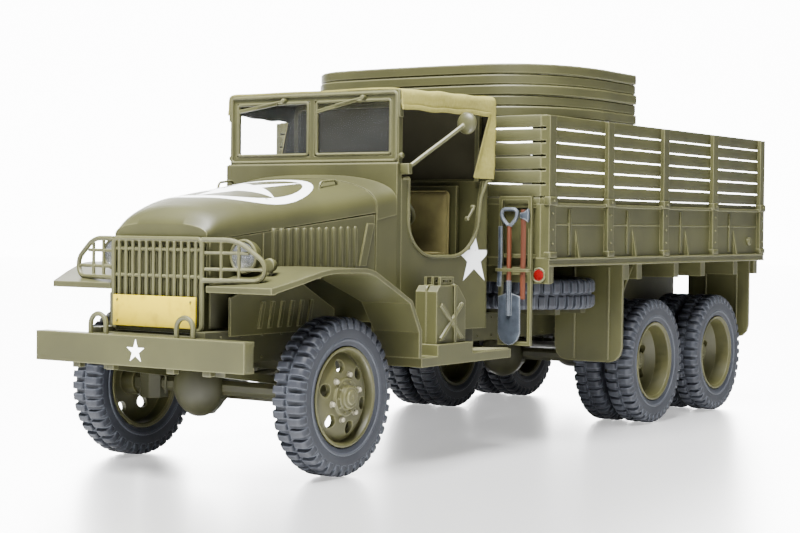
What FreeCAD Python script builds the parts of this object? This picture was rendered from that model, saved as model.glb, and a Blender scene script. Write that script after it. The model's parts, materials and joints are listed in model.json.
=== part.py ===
"""A 1:35 plastic scale model of a six-wheel-drive military cargo truck.

Frame: +Z up, the floor at zero, the front towards -Y and the truck's left side
towards +X.  The origin lies on the floor under the middle of the model.
All lengths are millimetres at the model's own size.
"""
import FreeCAD, Part
import math
import os
import re

import Sketcher
from FreeCAD import Placement, Rotation, Vector

# Driving sizes.  A name that ends in _station is a distance behind the front axle.
SIZES = {
    # Stance
    "wheelbase": 118.7,
    "bogie_spacing": 32.3,
    "front_overhang": 23.5,
    "rear_overhang": 40.2,
    "seat_gap": 0.3,
    "face_gap": 0.1,
    "overrun": 5.0,
    # Tyres and wheels
    "tyre_radius": 13.1,
    "tyre_width": 5.9,
    "lug_height": 0.8,
    "lug_width": 4.2,
    "lug_draft": 0.3,
    "tyre_bead": 8.3,
    "tyre_bead_width": 4.2,
    "front_track": 43.8,
    "rear_track": 49.0,
    "twin_spacing": 7.3,
    "rim_wall": 0.7,
    "rim_lip": 0.8,
    "disc_wall": 0.8,
    "disc_hole": 1.1,
    "disc_hole_circle": 5.2,
    "hub_radius": 2.6,
    "disc_knee": 1.2,
    "front_foot": 0.2,
    "front_bulge": 1.6,
    "front_hub_reach": 3.9,
    "rear_foot": 2.0,
    "rear_hub_reach": 3.0,
    "hub_cap_radius": 1.8,
    # Ladder frame
    "frame_width": 24.7,
    "rail_bottom": 18.6,
    "rail_height": 5.4,
    "rail_flange": 2.4,
    "rail_wall": 0.8,
    "rail_end_station": 151.0,
    "crossmember_depth": 2.4,
    # Front bumper
    "bumper_width": 44.6,
    "bumper_bottom": 18.2,
    "bumper_height": 4.9,
    "bumper_depth": 2.4,
    "bumper_wall": 0.8,
    "shackle_spread": 18.6,
    "shackle_width": 4.2,
    "shackle_height": 3.6,
    "shackle_bar": 0.8,
    "shackle_bend": 1.7,
    # Brush guard
    "guard_station": -19.2,
    "guard_bar": 0.6,
    "guard_bar_pitch": 1.5,
    "guard_width": 19.6,
    "guard_bottom": 23.5,
    "guard_top": 39.0,
    "guard_low_bar": 32.4,
    "guard_high_bar": 36.8,
    "wing_span": 11.4,
    "wing_sweep": 14.0,
    "wing_bottom": 31.8,
    "wing_shoulder": 5.9,
    "wing_tip_top": 33.4,
    "radiator_depth": 3.6,
    "radiator_top": 38.3,
    # Hood and cowl
    "hood_front_station": -17.9,
    "hood_nose_station": -16.0,
    "hood_brow_station": -11.4,
    "hood_rear_station": 17.0,
    "hood_front_half": 9.9,
    "hood_nose_half": 10.4,
    "hood_brow_half": 11.5,
    "hood_rear_half": 18.3,
    "hood_front_seam": 39.1,
    "hood_nose_seam": 39.4,
    "hood_brow_seam": 40.0,
    "hood_rear_seam": 44.0,
    "hood_front_crown": 41.2,
    "hood_nose_crown": 43.6,
    "hood_brow_crown": 45.5,
    "hood_rear_crown": 49.3,
    "hood_wall": 0.7,
    "hood_side_bottom": 32.0,
    "louvre_bottom": 33.2,
    "louvre_rise": 0.9,
    "louvre_top": 40.5,
    "louvre_pitch": 1.6,
    "louvre_width": 0.8,
    "louvre_depth": 0.35,
    "louvre_start": 12.95,
    "strip_start": 31.9,
    "strip_width": 1.5,
    "strip_slant": 1.8,
    "cowl_rear_station": 23.2,
    "cowl_half": 19.3,
    "cowl_crown": 52.0,
    "ledge_depth": 1.4,
    "ledge_seam": 45.0,
    "ledge_crown": 50.0,
    "cowl_wall": 0.8,
    # Headlamps
    "headlamp_spread": 27.8,
    "headlamp_station": -14.2,
    "headlamp_height": 35.9,
    "headlamp_stand": 2.3,
    "headlamp_radius": 2.75,
    "headlamp_depth": 3.4,
    "lens_depth": 0.6,
    # Front fenders
    "fender_front_station": -18.5,
    "fender_wall": 0.8,
    "fender_lip": 1.0,
    "fender_front_top": 31.2,
    "fender_crest": 34.2,
    "fender_outer": 28.0,
    "fender_nose_outer": 23.5,
    "fender_rear_station": 17.0,
    "crest_front_station": -8.0,
    "crest_rear_station": 2.0,
    "fender_knee_station": 14.0,
    "fender_knee_top": 28.5,
    "fender_rear_top": 23.3,
    "apron_offset": 12.6,
    "apron_wall": 0.5,
    "apron_front_station": -15.7,
    "apron_rear_station": 12.1,
    "apron_louvre_station": -9.0,
    "apron_louvre_pitch": 2.6,
    "blackout_side": 18.5,
    "blackout_station": -13.1,
    "blackout_height": 34.6,
    "blackout_radius": 1.1,
    "blackout_length": 1.8,
    # Running boards
    "board_bottom": 17.0,
    "board_height": 1.6,
    "board_inner": 19.0,
    "board_end_station": 46.9,
    "bracket_width": 2.0,
    # Cab
    "cab_bottom": 22.3,
    "cab_rear_station": 47.0,
    "cab_rear_half": 23.3,
    "cab_top": 49.5,
    "cab_wall": 0.8,
    "cab_corner": 1.2,
    "door_bottom": 35.6,
    "door_front_station": 25.0,
    "door_rear_station": 42.6,
    "door_corner": 7.0,
    "door_top_flare": 3.2,
    # Windscreen
    "screen_width": 38.0,
    "screen_height": 13.0,
    "screen_depth": 1.2,
    "screen_border": 1.5,
    "screen_post": 1.1,
    "glass_depth": 0.3,
    # Canvas cab top
    "canvas_wall": 0.5,
    "canvas_top": 65.5,
    "canvas_skirt": 61.6,
    "canvas_quarter_top": 2.0,
    "canvas_quarter_foot": 6.4,
    "canvas_overhang": 1.2,
    "bow_tube": 0.9,
    # Seats and controls
    "seat_width": 14.0,
    "seat_centre": 10.6,
    "seat_front_station": 33.0,
    "seat_depth": 11.0,
    "seat_base_top": 33.0,
    "cushion_height": 3.0,
    "back_top": 48.6,
    "back_depth": 1.6,
    "wheel_rim_radius": 5.4,
    "wheel_rim_bar": 0.8,
    "wheel_rake": 50.0,
    "wheel_rise": 44.5,
    "wheel_reach_station": 31.0,
    "dash_bottom": 42.5,
    # Mirror
    "mirror_radius": 1.95,
    "mirror_out": 27.4,
    "mirror_station": 31.4,
    "mirror_height": 59.3,
    "mirror_depth": 0.8,
    "mirror_arm": 0.45,
    # Jerry can and its tray
    "can_length": 9.4,
    "can_width": 4.4,
    "can_height": 11.6,
    "can_station": 23.1,
    "can_inner": 22.6,
    "tray_wall": 0.5,
    "tray_height": 2.0,
    # Tool rack
    "rack_station": 51.4,
    "rack_depth": 0.7,
    "rack_inner": 22.5,
    "rack_outer": 29.5,
    "rack_bottom": 18.9,
    "rack_top": 46.8,
    "rack_bar": 0.7,
    "tool_shaft": 0.5,
    "blade_width": 4.8,
    "blade_shoulder": 28.2,
    "grip_width": 3.6,
    "grip_foot": 41.0,
    "pick_foot": 30.0,
    "shovel_share": 0.37,
    "axe_share": 0.8,
    "pick_share": 0.1,
    # Load bed
    "bed_half": 32.3,
    "bed_front_station": 53.2,
    "bed_rear_station": 157.7,
    "bed_floor_bottom": 33.7,
    "bed_floor_height": 1.6,
    "bed_wall": 1.0,
    "post_depth": 0.9,
    "post_width": 2.5,
    "side_top": 45.4,
    "slat_bottom": 46.9,
    "slat_gap": 0.6,
    "slat_top": 61.9,
    "cross_sill_height": 3.1,
    "cross_sill_width": 2.2,
    "sill_width": 2.6,
    "tailgate_depth": 1.2,
    "gusset_post_height": 4.4,
    "gusset_bay_height": 5.6,
    "gusset_wall": 0.6,
    # Hoops of the load cover, stacked on the bed
    "hoop_width": 2.0,
    "hoop_height": 1.9,
    "hoop_pitch": 2.03,
    "hoop_front_station": 54.0,
    "hoop_rear_station": 91.0,
    "hoop_half": 31.2,
    "hoop_bow_depth": 20.0,
    # Spare wheel
    "spare_side": 17.6,
    "spare_station": 71.8,
    "carrier_height": 1.1,
    "carrier_width": 2.0,
    # Fuel tank
    "tank_length": 24.0,
    "tank_width": 13.0,
    "tank_height": 9.6,
    "tank_front_station": 56.0,
    "tank_gap": 1.2,
    # Splash guards
    "guard_plate_inner": 16.0,
    "guard_plate_outer": 31.4,
    "guard_plate_front_bottom": 13.7,
    "guard_plate_rear_bottom": 15.6,
    "guard_plate_wall": 0.6,
    "guard_plate_front_station": 85.5,
    "guard_plate_rear_station": 151.2,
    "guard_plate_corner": 3.0,
    # Marker lamps
    "marker_width": 4.1,
    "marker_bottom": 30.5,
    "marker_depth": 1.2,
    "reflector_radius": 1.25,
    "reflector_depth": 0.4,
    # Rear bumpers and tow hook
    "bumperette_width": 6.5,
    "bumperette_inner": 9.0,
    "bumperette_end_station": 158.7,
    "bumperette_wall": 1.0,
    "hook_reach": 4.0,
    "hook_radius": 1.9,
    "hook_bore": 0.9,
    "hook_width": 1.2,
    # Axles
    "axle_tube": 1.35,
    "bowl_radius": 5.1,
    "bowl_width": 3.4,
    "bowl_offset": 5.9,
    "kingpin_offset": 17.4,
    "ball_radius": 2.6,
    "stub_radius": 2.2,
    "tie_rod_radius": 0.5,
    "tie_rod_drop": 2.4,
    "tie_rod_knee": 14.2,
    "tie_rod_back": 4.6,
    "tie_eye_radius": 0.8,
    # Springs
    "leaf_width": 2.0,
    "front_spring_half": 17.0,
    "front_spring_rise": 2.2,
    "front_spring_height": 1.6,
    "rear_spring_offset": 13.9,
    "rear_spring_height": 2.2,
    "trunnion_radius": 1.6,
    # Engine and drive line
    "engine_width": 12.0,
    "engine_front_station": -12.5,
    "engine_rear_station": 8.0,
    "engine_bottom": 18.8,
    "engine_top": 37.0,
    "gearbox_width": 8.0,
    "gearbox_length": 14.0,
    "gearbox_height": 6.0,
    "transfer_width": 9.0,
    "transfer_length": 8.0,
    "transfer_height": 8.0,
    "transfer_station": 62.0,
    "shaft_radius": 0.8,
    "muffler_radius": 2.2,
    "muffler_length": 14.0,
    "muffler_side": 17.0,
    "muffler_height": 13.6,
    "muffler_station": 26.0,
    "pipe_radius": 0.7,
}

# Places worked out from the sizes.
PLACES = {
    "overall_length": "front_overhang + wheelbase + rear_overhang",
    "bumper_y": "-overall_length / 2",
    "axle_y": "bumper_y + front_overhang",
    "bogie_y": "axle_y + wheelbase",
    "rear_first_y": "bogie_y - bogie_spacing / 2",
    "rear_last_y": "bogie_y + bogie_spacing / 2",
    "frame_half": "frame_width / 2",
    "rail_top": "rail_bottom + rail_height",
    "rail_start_y": "bumper_y + bumper_depth",
    "rail_end_y": "axle_y + rail_end_station",
    "bumper_top": "bumper_bottom + bumper_height",
    "guard_y": "axle_y + guard_station",
    "radiator_y": "guard_y + 2 * guard_bar",
    "radiator_bottom": "rail_top - rail_wall",
    "radiator_half": "hood_front_half - hood_wall - face_gap",
    "hood_front_y": "axle_y + hood_front_station",
    "hood_nose_y": "axle_y + hood_nose_station",
    "hood_brow_y": "axle_y + hood_brow_station",
    "hood_rear_y": "axle_y + hood_rear_station",
    "hood_length": "hood_rear_station - hood_front_station",
    "seam_turn": "atan((hood_rear_half - hood_front_half) / hood_length)",
    "seam_run": "hood_length / cos(seam_turn)",
    "panel_run": "seam_run - seat_gap",
    "cowl_rear_y": "axle_y + cowl_rear_station",
    "ledge_y": "cowl_rear_y - ledge_depth",
    "board_top": "board_bottom + board_height",
    "board_start_y": "axle_y + fender_rear_station",
    "board_end_y": "axle_y + board_end_station",
    "cab_underside": "rail_top + seat_gap",
    "cab_floor": "cab_underside + cab_wall",
    "cab_rear_y": "axle_y + cab_rear_station",
    "screen_y": "cowl_rear_y - screen_depth / 2",
    "screen_top": "cowl_crown + screen_height",
    "bed_front_y": "axle_y + bed_front_station",
    "bed_rear_y": "axle_y + bed_rear_station",
    "bed_length": "bed_rear_station - bed_front_station",
    "bed_floor": "bed_floor_bottom + bed_floor_height",
    "bed_outer": "bed_half - post_depth",
    "hinge_rise": "bed_floor + seat_gap",
    "cross_sill_bottom": "bed_floor_bottom - cross_sill_height",
    "hoop_bottom": "slat_top + seat_gap",
    "spare_bottom": "rail_top + carrier_height",
    "spare_y": "axle_y + spare_station",
    "rack_y": "axle_y + rack_station",
    "hook_level": "rail_bottom - hook_radius - 2 * face_gap",
}

# Where the crossmembers start: at the engine's front, behind the gearbox, before the transfer case,
# under the load bed and at the tail
CROSSMEMBERS = (
    "rail_start_y",
    "axle_y + engine_front_station - crossmember_depth",
    "axle_y + engine_rear_station + gearbox_length",
    "axle_y + transfer_station - crossmember_depth",
    "rear_first_y - bowl_radius * 2 - crossmember_depth",
    "rail_end_y - crossmember_depth",
)
# Shares along a length, chosen by eye from the real truck
POST_SHARES = (0.0, 0.233, 0.483, 0.733, 1.0)
SILL_SHARES = (0.012, 0.38, 0.555, 0.69, 0.868, 0.985)
BOARD_BRACKET_SHARES = (0.15, 0.8)
# Bow of a cover hoop from its middle to a leg: shares of its half width and of the bow's depth
HOOP_SHARES = ((0, 0), (0.64, 0.065), (0.83, 0.28), (0.95, 0.62), (1, 1))
# A quarter bend in three straight pieces: shares of its radius from the sharp corner
BEND_SHARES = ((0, 1), (0.134, 0.5), (0.5, 0.134), (1, 0))
# Power of the sine and cosine that flattens the crown of the hood
ARCH_SHARE = 0.8
# How far four corners may lie off one plane, as a share of their distance
FLAT_SHARE = 1e-6
ARCH_STEPS = 12
TREAD_BARS = 12
RIM_SIDES = 10
HUB_SIDES = 8
DRUM_SIDES = 8
HOLE_SIDES = 5
APRON_LOUVRES = 6
DISC_HOLES = 6
SLAT_COUNT = 6
HOOP_COUNT = 5
LOUVRE_COUNT = 12
GUARD_BARS = 12

os.makedirs("parts", exist_ok=True)
doc = FreeCAD.newDocument("cargo_truck")
pieces = []


def fill_sheet(name, rows):
    """Put named rows in a sheet: the name in column A, its value or formula in B."""
    sheet = doc.addObject("Spreadsheet::Sheet", name)
    for row, (alias, content) in enumerate(rows.items(), start=1):
        sheet.set(f"A{row}", alias)
        sheet.set(f"B{row}", str(content))
        sheet.setAlias(f"B{row}", alias)
    return sheet


def expression(text):
    """Write each named size or place in the text with the sheet that holds it."""
    def owner(word):
        name = word.group()
        if name in SIZES:
            return f"sizes.{name}"
        if name in PLACES:
            return f"places.{name}"
        return name
    return re.sub(r"[a-z][a-z_]*", owner, text)


sizes = fill_sheet("sizes", SIZES)
places = fill_sheet("places", {name: "=" + expression(text).replace("places.", "")
                               for name, text in PLACES.items()})
doc.recompute()


def value(text):
    """The present value, in millimetres or degrees, of a text in named sizes."""
    result = sizes.evalExpression(expression(text))
    return float(getattr(result, "Value", result))


def bind(item, field, text):
    """Tie one field of an object to the sheets."""
    item.setExpression(field, expression(text))


def place(item, corner):
    """Tie the three coordinates of an object's base point to the sheets."""
    for axis, text in zip("xyz", corner):
        bind(item, f".Placement.Base.{axis}", text)


def block(name, corner, lengths):
    """A box from its lowest corner and its three lengths."""
    item = doc.addObject("Part::Box", name)
    for field, text in zip(("Length", "Width", "Height"), lengths):
        bind(item, field, text)
    place(item, corner)
    return item


TURNS = {
    "x": Rotation(Vector(0, 1, 0), 90),
    "y": Rotation(Vector(1, 0, 0), -90),
    "z": Rotation(),
}


def rod(name, axis, base, radius, length):
    """A round bar along one axis, from the centre of its first end."""
    item = doc.addObject("Part::Cylinder", name)
    item.Placement = Placement(Vector(), TURNS[axis])
    bind(item, "Radius", radius)
    bind(item, "Height", length)
    place(item, base)
    return item


def hexagon_bar(name, axis, base, radius, length):
    """A six-sided bar along one axis, for thin rods and handles."""
    item = doc.addObject("Part::Prism", name)
    item.Polygon = 6
    item.Placement = Placement(Vector(), TURNS[axis])
    bind(item, "Circumradius", radius)
    bind(item, "Height", length)
    place(item, base)
    return item


def draw_outline(sketch, points):
    """Closed outline.  Each corner has its two distances, and a third entry rounds it."""
    corners = [Vector(value(point[0]), value(point[1]), 0) for point in points]
    count = len(points)
    first = sketch.GeometryCount
    arrivals, departures, arcs = [], [], {}
    for index, (point, corner) in enumerate(zip(points, corners)):
        back = (corners[index - 1] - corner).normalize()
        ahead = (corners[(index + 1) % count] - corner).normalize()
        run = 0.0
        if len(point) == 3:
            radius = value(point[2])
            run = radius / math.tan(back.getAngle(ahead) / 2)
            left_turn = ahead.cross(back).z > 0
            centre = corner + (back + ahead).normalize() * math.hypot(radius, run)
            ends = (corner + back * run, corner + ahead * run) if left_turn else (
                corner + ahead * run, corner + back * run)
            angles = [math.atan2(end.y - centre.y, end.x - centre.x) for end in ends]
            circle = Part.Circle(centre, Vector(0, 0, 1), radius)
            arcs[index] = (Part.ArcOfCircle(circle, angles[0], angles[1]), left_turn)
        arrivals.append(corner + back * run)
        departures.append(corner + ahead * run)
    lines = [Part.LineSegment(departures[index], arrivals[(index + 1) % count]) for index in range(count)]
    sketch.addGeometry(lines + [arc for arc, left_turn in arcs.values()], False)
    if arcs:
        sketch.addGeometry([Part.Point(corners[index]) for index in arcs], True)
    constraints, bindings = [], []
    for index, point in enumerate(points):
        before = first + (index - 1) % count
        after = first + index
        held = after
        if index in arcs:
            order = list(arcs).index(index)
            arc = first + count + order
            held = arc + len(arcs)
            arrival_end, departure_end = (1, 2) if arcs[index][1] else (2, 1)
            constraints += [
                Sketcher.Constraint("Tangent", before, 2, arc, arrival_end),
                Sketcher.Constraint("Tangent", arc, departure_end, after, 1),
                Sketcher.Constraint("PointOnObject", held, 1, before),
                Sketcher.Constraint("PointOnObject", held, 1, after),
                Sketcher.Constraint("Radius", arc, value(point[2])),
            ]
            bindings.append((len(constraints) - 1, point[2]))
        else:
            constraints.append(Sketcher.Constraint("Coincident", before, 2, after, 1))
        for kind, text in (("DistanceX", point[0]), ("DistanceY", point[1])):
            constraints.append(Sketcher.Constraint(kind, -1, 1, held, 1, value(text)))
            bindings.append((len(constraints) - 1, text))
    base = sketch.ConstraintCount
    sketch.addConstraint(constraints)
    for number, text in bindings:
        bind(sketch, f"Constraints[{base + number}]", text)


def draw_circle(sketch, across, up, radius):
    """A round hole, held by its centre and radius."""
    centre = Vector(value(across), value(up), 0)
    circle = sketch.addGeometry(Part.Circle(centre, Vector(0, 0, 1), value(radius)), False)
    for kind, text in (("DistanceX", across), ("DistanceY", up)):
        number = sketch.addConstraint(Sketcher.Constraint(kind, -1, 1, circle, 3, value(text)))
        bind(sketch, f"Constraints[{number}]", text)
    number = sketch.addConstraint(Sketcher.Constraint("Radius", circle, value(radius)))
    bind(sketch, f"Constraints[{number}]", radius)


# View of an outline: its origin plane, and whether the plane's normal runs along +X, +Y or +Z
VIEWS = {"top": ("XY_Plane", True), "front": ("XZ_Plane", False), "side": ("YZ_Plane", True)}


def profile(name, view, points, start, depth, holes=(), circles=()):
    """A body padded along +X, +Y or +Z from an outline seen from the side, front or top."""
    role, along = VIEWS[view]
    body = doc.addObject("PartDesign::Body", name)
    sketch = body.newObject("Sketcher::SketchObject", f"{name}_outline")
    plane = next(item for item in body.Origin.OriginFeatures if item.Role == role)
    sketch.AttachmentSupport = (plane, [""])
    sketch.MapMode = "FlatFace"
    bind(sketch, "AttachmentOffset.Base.z", start if along else f"-({start})")
    draw_outline(sketch, points)
    for hole in holes:
        draw_outline(sketch, hole)
    for circle in circles:
        draw_circle(sketch, *circle)
    pad = body.newObject("PartDesign::Pad", f"{name}_pad")
    pad.Profile = sketch
    pad.Reversed = not along
    bind(pad, "Length", depth)
    body.Tip = pad
    return body


def unite(name, items):
    """One solid from pieces that share faces."""
    item = doc.addObject("Part::MultiFuse", name)
    item.Shapes = items
    item.Refine = True
    return item


def carve(name, base, tools):
    """A base with one or more tools taken away."""
    if len(tools) > 1:
        tool = doc.addObject("Part::Compound", f"{name}_tools")
        tool.Links = tools
    else:
        tool = tools[0]
    item = doc.addObject("Part::Cut", name)
    item.Base = base
    item.Tool = tool
    return item


def common(name, first, second):
    """What two solids share."""
    item = doc.addObject("Part::Common", name)
    item.Base = first
    item.Tool = second
    return item


def like_pieces(name, items):
    """Like solids that don't touch, kept in one node."""
    item = doc.addObject("Part::Compound", name)
    item.Links = items
    return item


def mirrored(name, item):
    """The same piece on the other side of the truck's middle plane."""
    copy = doc.addObject("Part::Mirroring", name)
    copy.Source = item
    copy.Normal = Vector(1, 0, 0)
    copy.Base = Vector()
    return copy


def feature(name, shape):
    """An object for a shape that neither primitives nor bodies make."""
    item = doc.addObject("Part::Feature", name)
    item.Shape = shape
    return item


def keep(label, item):
    """Name a finished sub-part."""
    item.Label = label
    pieces.append(item)
    return item


def bend(across, up, radius, aside, upward, inside=False):
    """Points of a rounded corner in straight pieces.  The two signs point into the piece's outline."""
    shares = BEND_SHARES if (aside * upward > 0) != inside else BEND_SHARES[::-1]
    return [(f"{across} + {aside} * ({radius}) * {first}", f"{up} + {upward} * ({radius}) * {second}")
            for first, second in shares]


def flat_face(corners):
    """One flat face from its corners."""
    return Part.Face(Part.makePolygon(corners + corners[:1]))


def flat_skin(slices):
    """A closed solid through slices of equally many corners, with flat faces only."""
    faces = [flat_face(slices[0]), flat_face(slices[-1])]
    for first, second in zip(slices, slices[1:]):
        for index in range(len(first)):
            after = (index + 1) % len(first)
            around = [first[index], first[after], second[after], second[index]]
            normal = (around[1] - around[0]).cross(around[3] - around[0])
            reach = around[2] - around[0]
            if abs(normal.dot(reach)) < normal.Length * reach.Length * FLAT_SHARE:
                faces.append(flat_face(around))
            else:
                faces += [flat_face(around[:3]), flat_face([around[0], around[2], around[3]])]
    solid = Part.Solid(Part.Shell(faces))
    if solid.Volume < 0:
        solid.reverse()
    return solid


def ring_angles(side_count):
    """Corner angles of a ring whose lowest side is level."""
    return [2 * math.pi * (step + 0.5) / side_count - math.pi / 2 for step in range(side_count)]


def turned_solid(outline, side_count):
    """A turned solid about the X axis with flat sides.  The outline lists (along, radius) pairs."""
    return flat_skin([[Vector(along, radius * math.cos(angle), radius * math.sin(angle))
                       for angle in ring_angles(side_count)] for along, radius in outline])


# Turns that bring the X axis to each axis of the truck
SPINS = {
    "x": Rotation(),
    "y": Rotation(Vector(0, 0, 1), 90),
    "z": Rotation(Vector(0, 1, 0), -90),
}


def turned(name, axis, base, outline, side_count=DRUM_SIDES):
    """A turned piece along one axis from its base point.  The outline lists (along, radius) texts."""
    solid = turned_solid([(value(along), value(radius)) for along, radius in outline], side_count)
    item = feature(name, solid)
    item.Placement = Placement(Vector(), SPINS[axis])
    place(item, base)
    return item


def flat_ring(outline, side_count):
    """A ring about the X axis with flat sides.  The outline lists (along, radius) pairs."""
    faces = []
    angles = ring_angles(side_count)

    def corner(along, radius, angle):
        return Vector(along, radius * math.cos(angle), radius * math.sin(angle))

    for index, (along, radius) in enumerate(outline):
        next_along, next_radius = outline[(index + 1) % len(outline)]
        for step, angle in enumerate(angles):
            turn = angles[(step + 1) % side_count]
            faces.append(flat_face([
                corner(along, radius, angle), corner(along, radius, turn),
                corner(next_along, next_radius, turn), corner(next_along, next_radius, angle)]))
    solid = Part.Solid(Part.Shell(faces))
    if solid.Volume < 0:
        solid.reverse()
    return solid


def bar_between(start, end, radius, side_count=6):
    """A straight bar with flat sides between two points."""
    direction = end - start
    across = direction.cross(Vector(0, 0, 1))
    if across.Length < direction.Length / 1000:
        across = Vector(1, 0, 0)
    across.normalize()
    other = direction.cross(across)
    other.normalize()
    corners = []
    for step in range(side_count):
        angle = 2 * math.pi * step / side_count
        corners.append(start + across * radius * math.cos(angle) + other * radius * math.sin(angle))
    base = Part.Face(Part.makePolygon(corners + corners[:1]))
    return base.extrude(direction)


def point(across, along, up):
    """A point of the truck from three texts in named sizes."""
    return Vector(value(across), value(along), value(up))


def make_frame():
    """Two channel rails, the crossmembers between them and the trunnion of the rear springs."""
    rail = profile("rail", "front", [
        ("frame_half", "rail_bottom"),
        ("frame_half", "rail_top"),
        ("frame_half - rail_flange", "rail_top"),
        ("frame_half - rail_flange", "rail_top - rail_wall"),
        ("frame_half - rail_wall", "rail_top - rail_wall"),
        ("frame_half - rail_wall", "rail_bottom + rail_wall"),
        ("frame_half - rail_flange", "rail_bottom + rail_wall"),
        ("frame_half - rail_flange", "rail_bottom"),
    ], "rail_start_y", "rail_end_y - rail_start_y")
    members = []
    for number, along in enumerate(CROSSMEMBERS):
        members.append(block(
            f"crossmember_{number}", ("-frame_half + rail_wall", along, "rail_bottom + rail_wall"),
            ("frame_width - 2 * rail_wall", "crossmember_depth", "rail_height - 2 * rail_wall")))
    bracket = block("trunnion_bracket",
                    ("frame_half", "bogie_y - leaf_width", "rail_bottom - rail_height / 2"),
                    ("rear_spring_offset - frame_half", "2 * leaf_width", "rail_height * 1.5"))
    tube = turned("trunnion_tube", "x",
                  ("-rear_spring_offset", "bogie_y", "rail_bottom - rail_height / 2 + trunnion_radius"),
                  [("0", "trunnion_radius"), ("2 * rear_spring_offset", "trunnion_radius")])
    trunnion = [tube, bracket, mirrored("trunnion_bracket_right", bracket)]
    keep("frame", unite("ladder", [rail, mirrored("rail_right", rail)] + members + trunnion))


def make_bumper():
    """Channel bumper, open to the rear, with its two towing shackles behind it."""
    channel = profile("channel", "side", [
        ("bumper_y", "bumper_bottom"),
        ("bumper_y + bumper_depth", "bumper_bottom"),
        ("bumper_y + bumper_depth", "bumper_bottom + bumper_wall"),
        ("bumper_y + bumper_wall", "bumper_bottom + bumper_wall"),
        ("bumper_y + bumper_wall", "bumper_top - bumper_wall"),
        ("bumper_y + bumper_depth", "bumper_top - bumper_wall"),
        ("bumper_y + bumper_depth", "bumper_top"),
        ("bumper_y", "bumper_top"),
    ], "-bumper_width / 2", "bumper_width")
    keep("front_bumper", channel)
    inner, outer = "(shackle_spread - shackle_width) / 2", "(shackle_spread + shackle_width) / 2"
    top = "bumper_top + shackle_height"
    loop = profile("shackle_loop", "front", [
        (inner, "bumper_top"),
        (outer, "bumper_top"),
        *bend(outer, top, "shackle_bend", -1, -1),
        *bend(inner, top, "shackle_bend", 1, -1),
    ], "bumper_y + bumper_depth - 2 * shackle_bar", "shackle_bar", holes=[[
        (f"{inner} + shackle_bar", "bumper_top + shackle_bar"),
        (f"{outer} - shackle_bar", "bumper_top + shackle_bar"),
        *bend(f"{outer} - shackle_bar", f"{top} - shackle_bar", "shackle_bend / 2", -1, -1),
        *bend(f"{inner} + shackle_bar", f"{top} - shackle_bar", "shackle_bend / 2", 1, -1),
    ]])
    keep("tow_shackles", like_pieces("shackles", [loop, mirrored("shackle_right", loop)]))


def make_brush_guard():
    """Upright bars before the radiator and a swept wing before each headlamp."""
    bars = []
    for number in range(GUARD_BARS):
        bars.append(block(
            f"guard_bar_{number}",
            (f"({number} - {GUARD_BARS - 1} / 2) * guard_bar_pitch - guard_bar / 2", "guard_y",
             "guard_bottom + guard_bar"),
            ("guard_bar", "guard_bar", "guard_top - guard_bottom - 2 * guard_bar")))
    rim = profile("guard_rim", "front", [
        ("-guard_width / 2 + 2 * guard_bar", "guard_bottom"),
        ("guard_width / 2 - 2 * guard_bar", "guard_bottom"),
        ("guard_width / 2", "guard_bottom + 2 * guard_bar"),
        ("guard_width / 2", "guard_top"),
        ("-guard_width / 2", "guard_top"),
        ("-guard_width / 2", "guard_bottom + 2 * guard_bar"),
    ], "guard_y", "2 * guard_bar", holes=[[
        ("-guard_width / 2 + guard_bar", "guard_bottom + 2 * guard_bar"),
        ("-guard_width / 2 + 2 * guard_bar", "guard_bottom + guard_bar"),
        ("guard_width / 2 - 2 * guard_bar", "guard_bottom + guard_bar"),
        ("guard_width / 2 - guard_bar", "guard_bottom + 2 * guard_bar"),
        ("guard_width / 2 - guard_bar", "guard_top - guard_bar"),
        ("-guard_width / 2 + guard_bar", "guard_top - guard_bar"),
    ]])
    rails = []
    for name in ("guard_low_bar", "guard_high_bar"):
        rails.append(block(f"{name}_rail",
                           ("-guard_width / 2 + guard_bar / 2", "guard_y + guard_bar + face_gap", name),
                           ("guard_width - guard_bar", "guard_bar - 2 * face_gap", "guard_bar")))
    wing = make_guard_wing()
    keep("brush_guard", unite("guard", bars + [rim] + rails + [wing, mirrored("wing_right", wing)]))


def make_guard_wing():
    """Flat frame with two upright and two level bars, turned back round its inner edge."""
    frame = profile("wing_frame", "front", [
        ("0", "wing_bottom"),
        ("wing_span - wing_shoulder / 4", "wing_bottom"),
        ("wing_span", "wing_tip_top"),
        ("wing_shoulder + guard_bar", "guard_top - guard_bar"),
        ("wing_shoulder - guard_bar", "guard_top"),
        ("0", "guard_top"),
    ], "0", "guard_bar", holes=[[
        ("guard_bar", "wing_bottom + guard_bar"),
        ("wing_span - wing_shoulder / 4 - guard_bar", "wing_bottom + guard_bar"),
        ("wing_span - guard_bar * 1.4", "wing_tip_top - guard_bar / 4"),
        ("wing_shoulder - guard_bar / 2", "guard_top - guard_bar"),
        ("guard_bar", "guard_top - guard_bar"),
    ]])
    bars = [
        block("wing_post_inner", ("wing_shoulder * 0.5", "0", "wing_bottom"),
              ("guard_bar", "guard_bar", "guard_top - wing_bottom")),
        block("wing_post_outer", ("wing_shoulder", "0", "wing_bottom"),
              ("guard_bar", "guard_bar", "guard_top - wing_bottom - 2 * guard_bar")),
        block("wing_rail_low", ("0", "0", "guard_low_bar + guard_bar * 1.5"),
              ("wing_span - guard_bar", "guard_bar", "guard_bar")),
        block("wing_rail_high", ("0", "0", "guard_high_bar - guard_bar"),
              ("wing_shoulder + guard_bar * 2", "guard_bar", "guard_bar")),
    ]
    wing = unite("wing", [frame] + bars)
    wing.Placement = Placement(Vector(), Rotation(Vector(0, 0, 1), value("wing_sweep")))
    bind(wing, ".Placement.Rotation.Angle", "wing_sweep")
    place(wing, ("guard_width / 2 - guard_bar / 2", "guard_y", "0"))
    return wing


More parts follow.
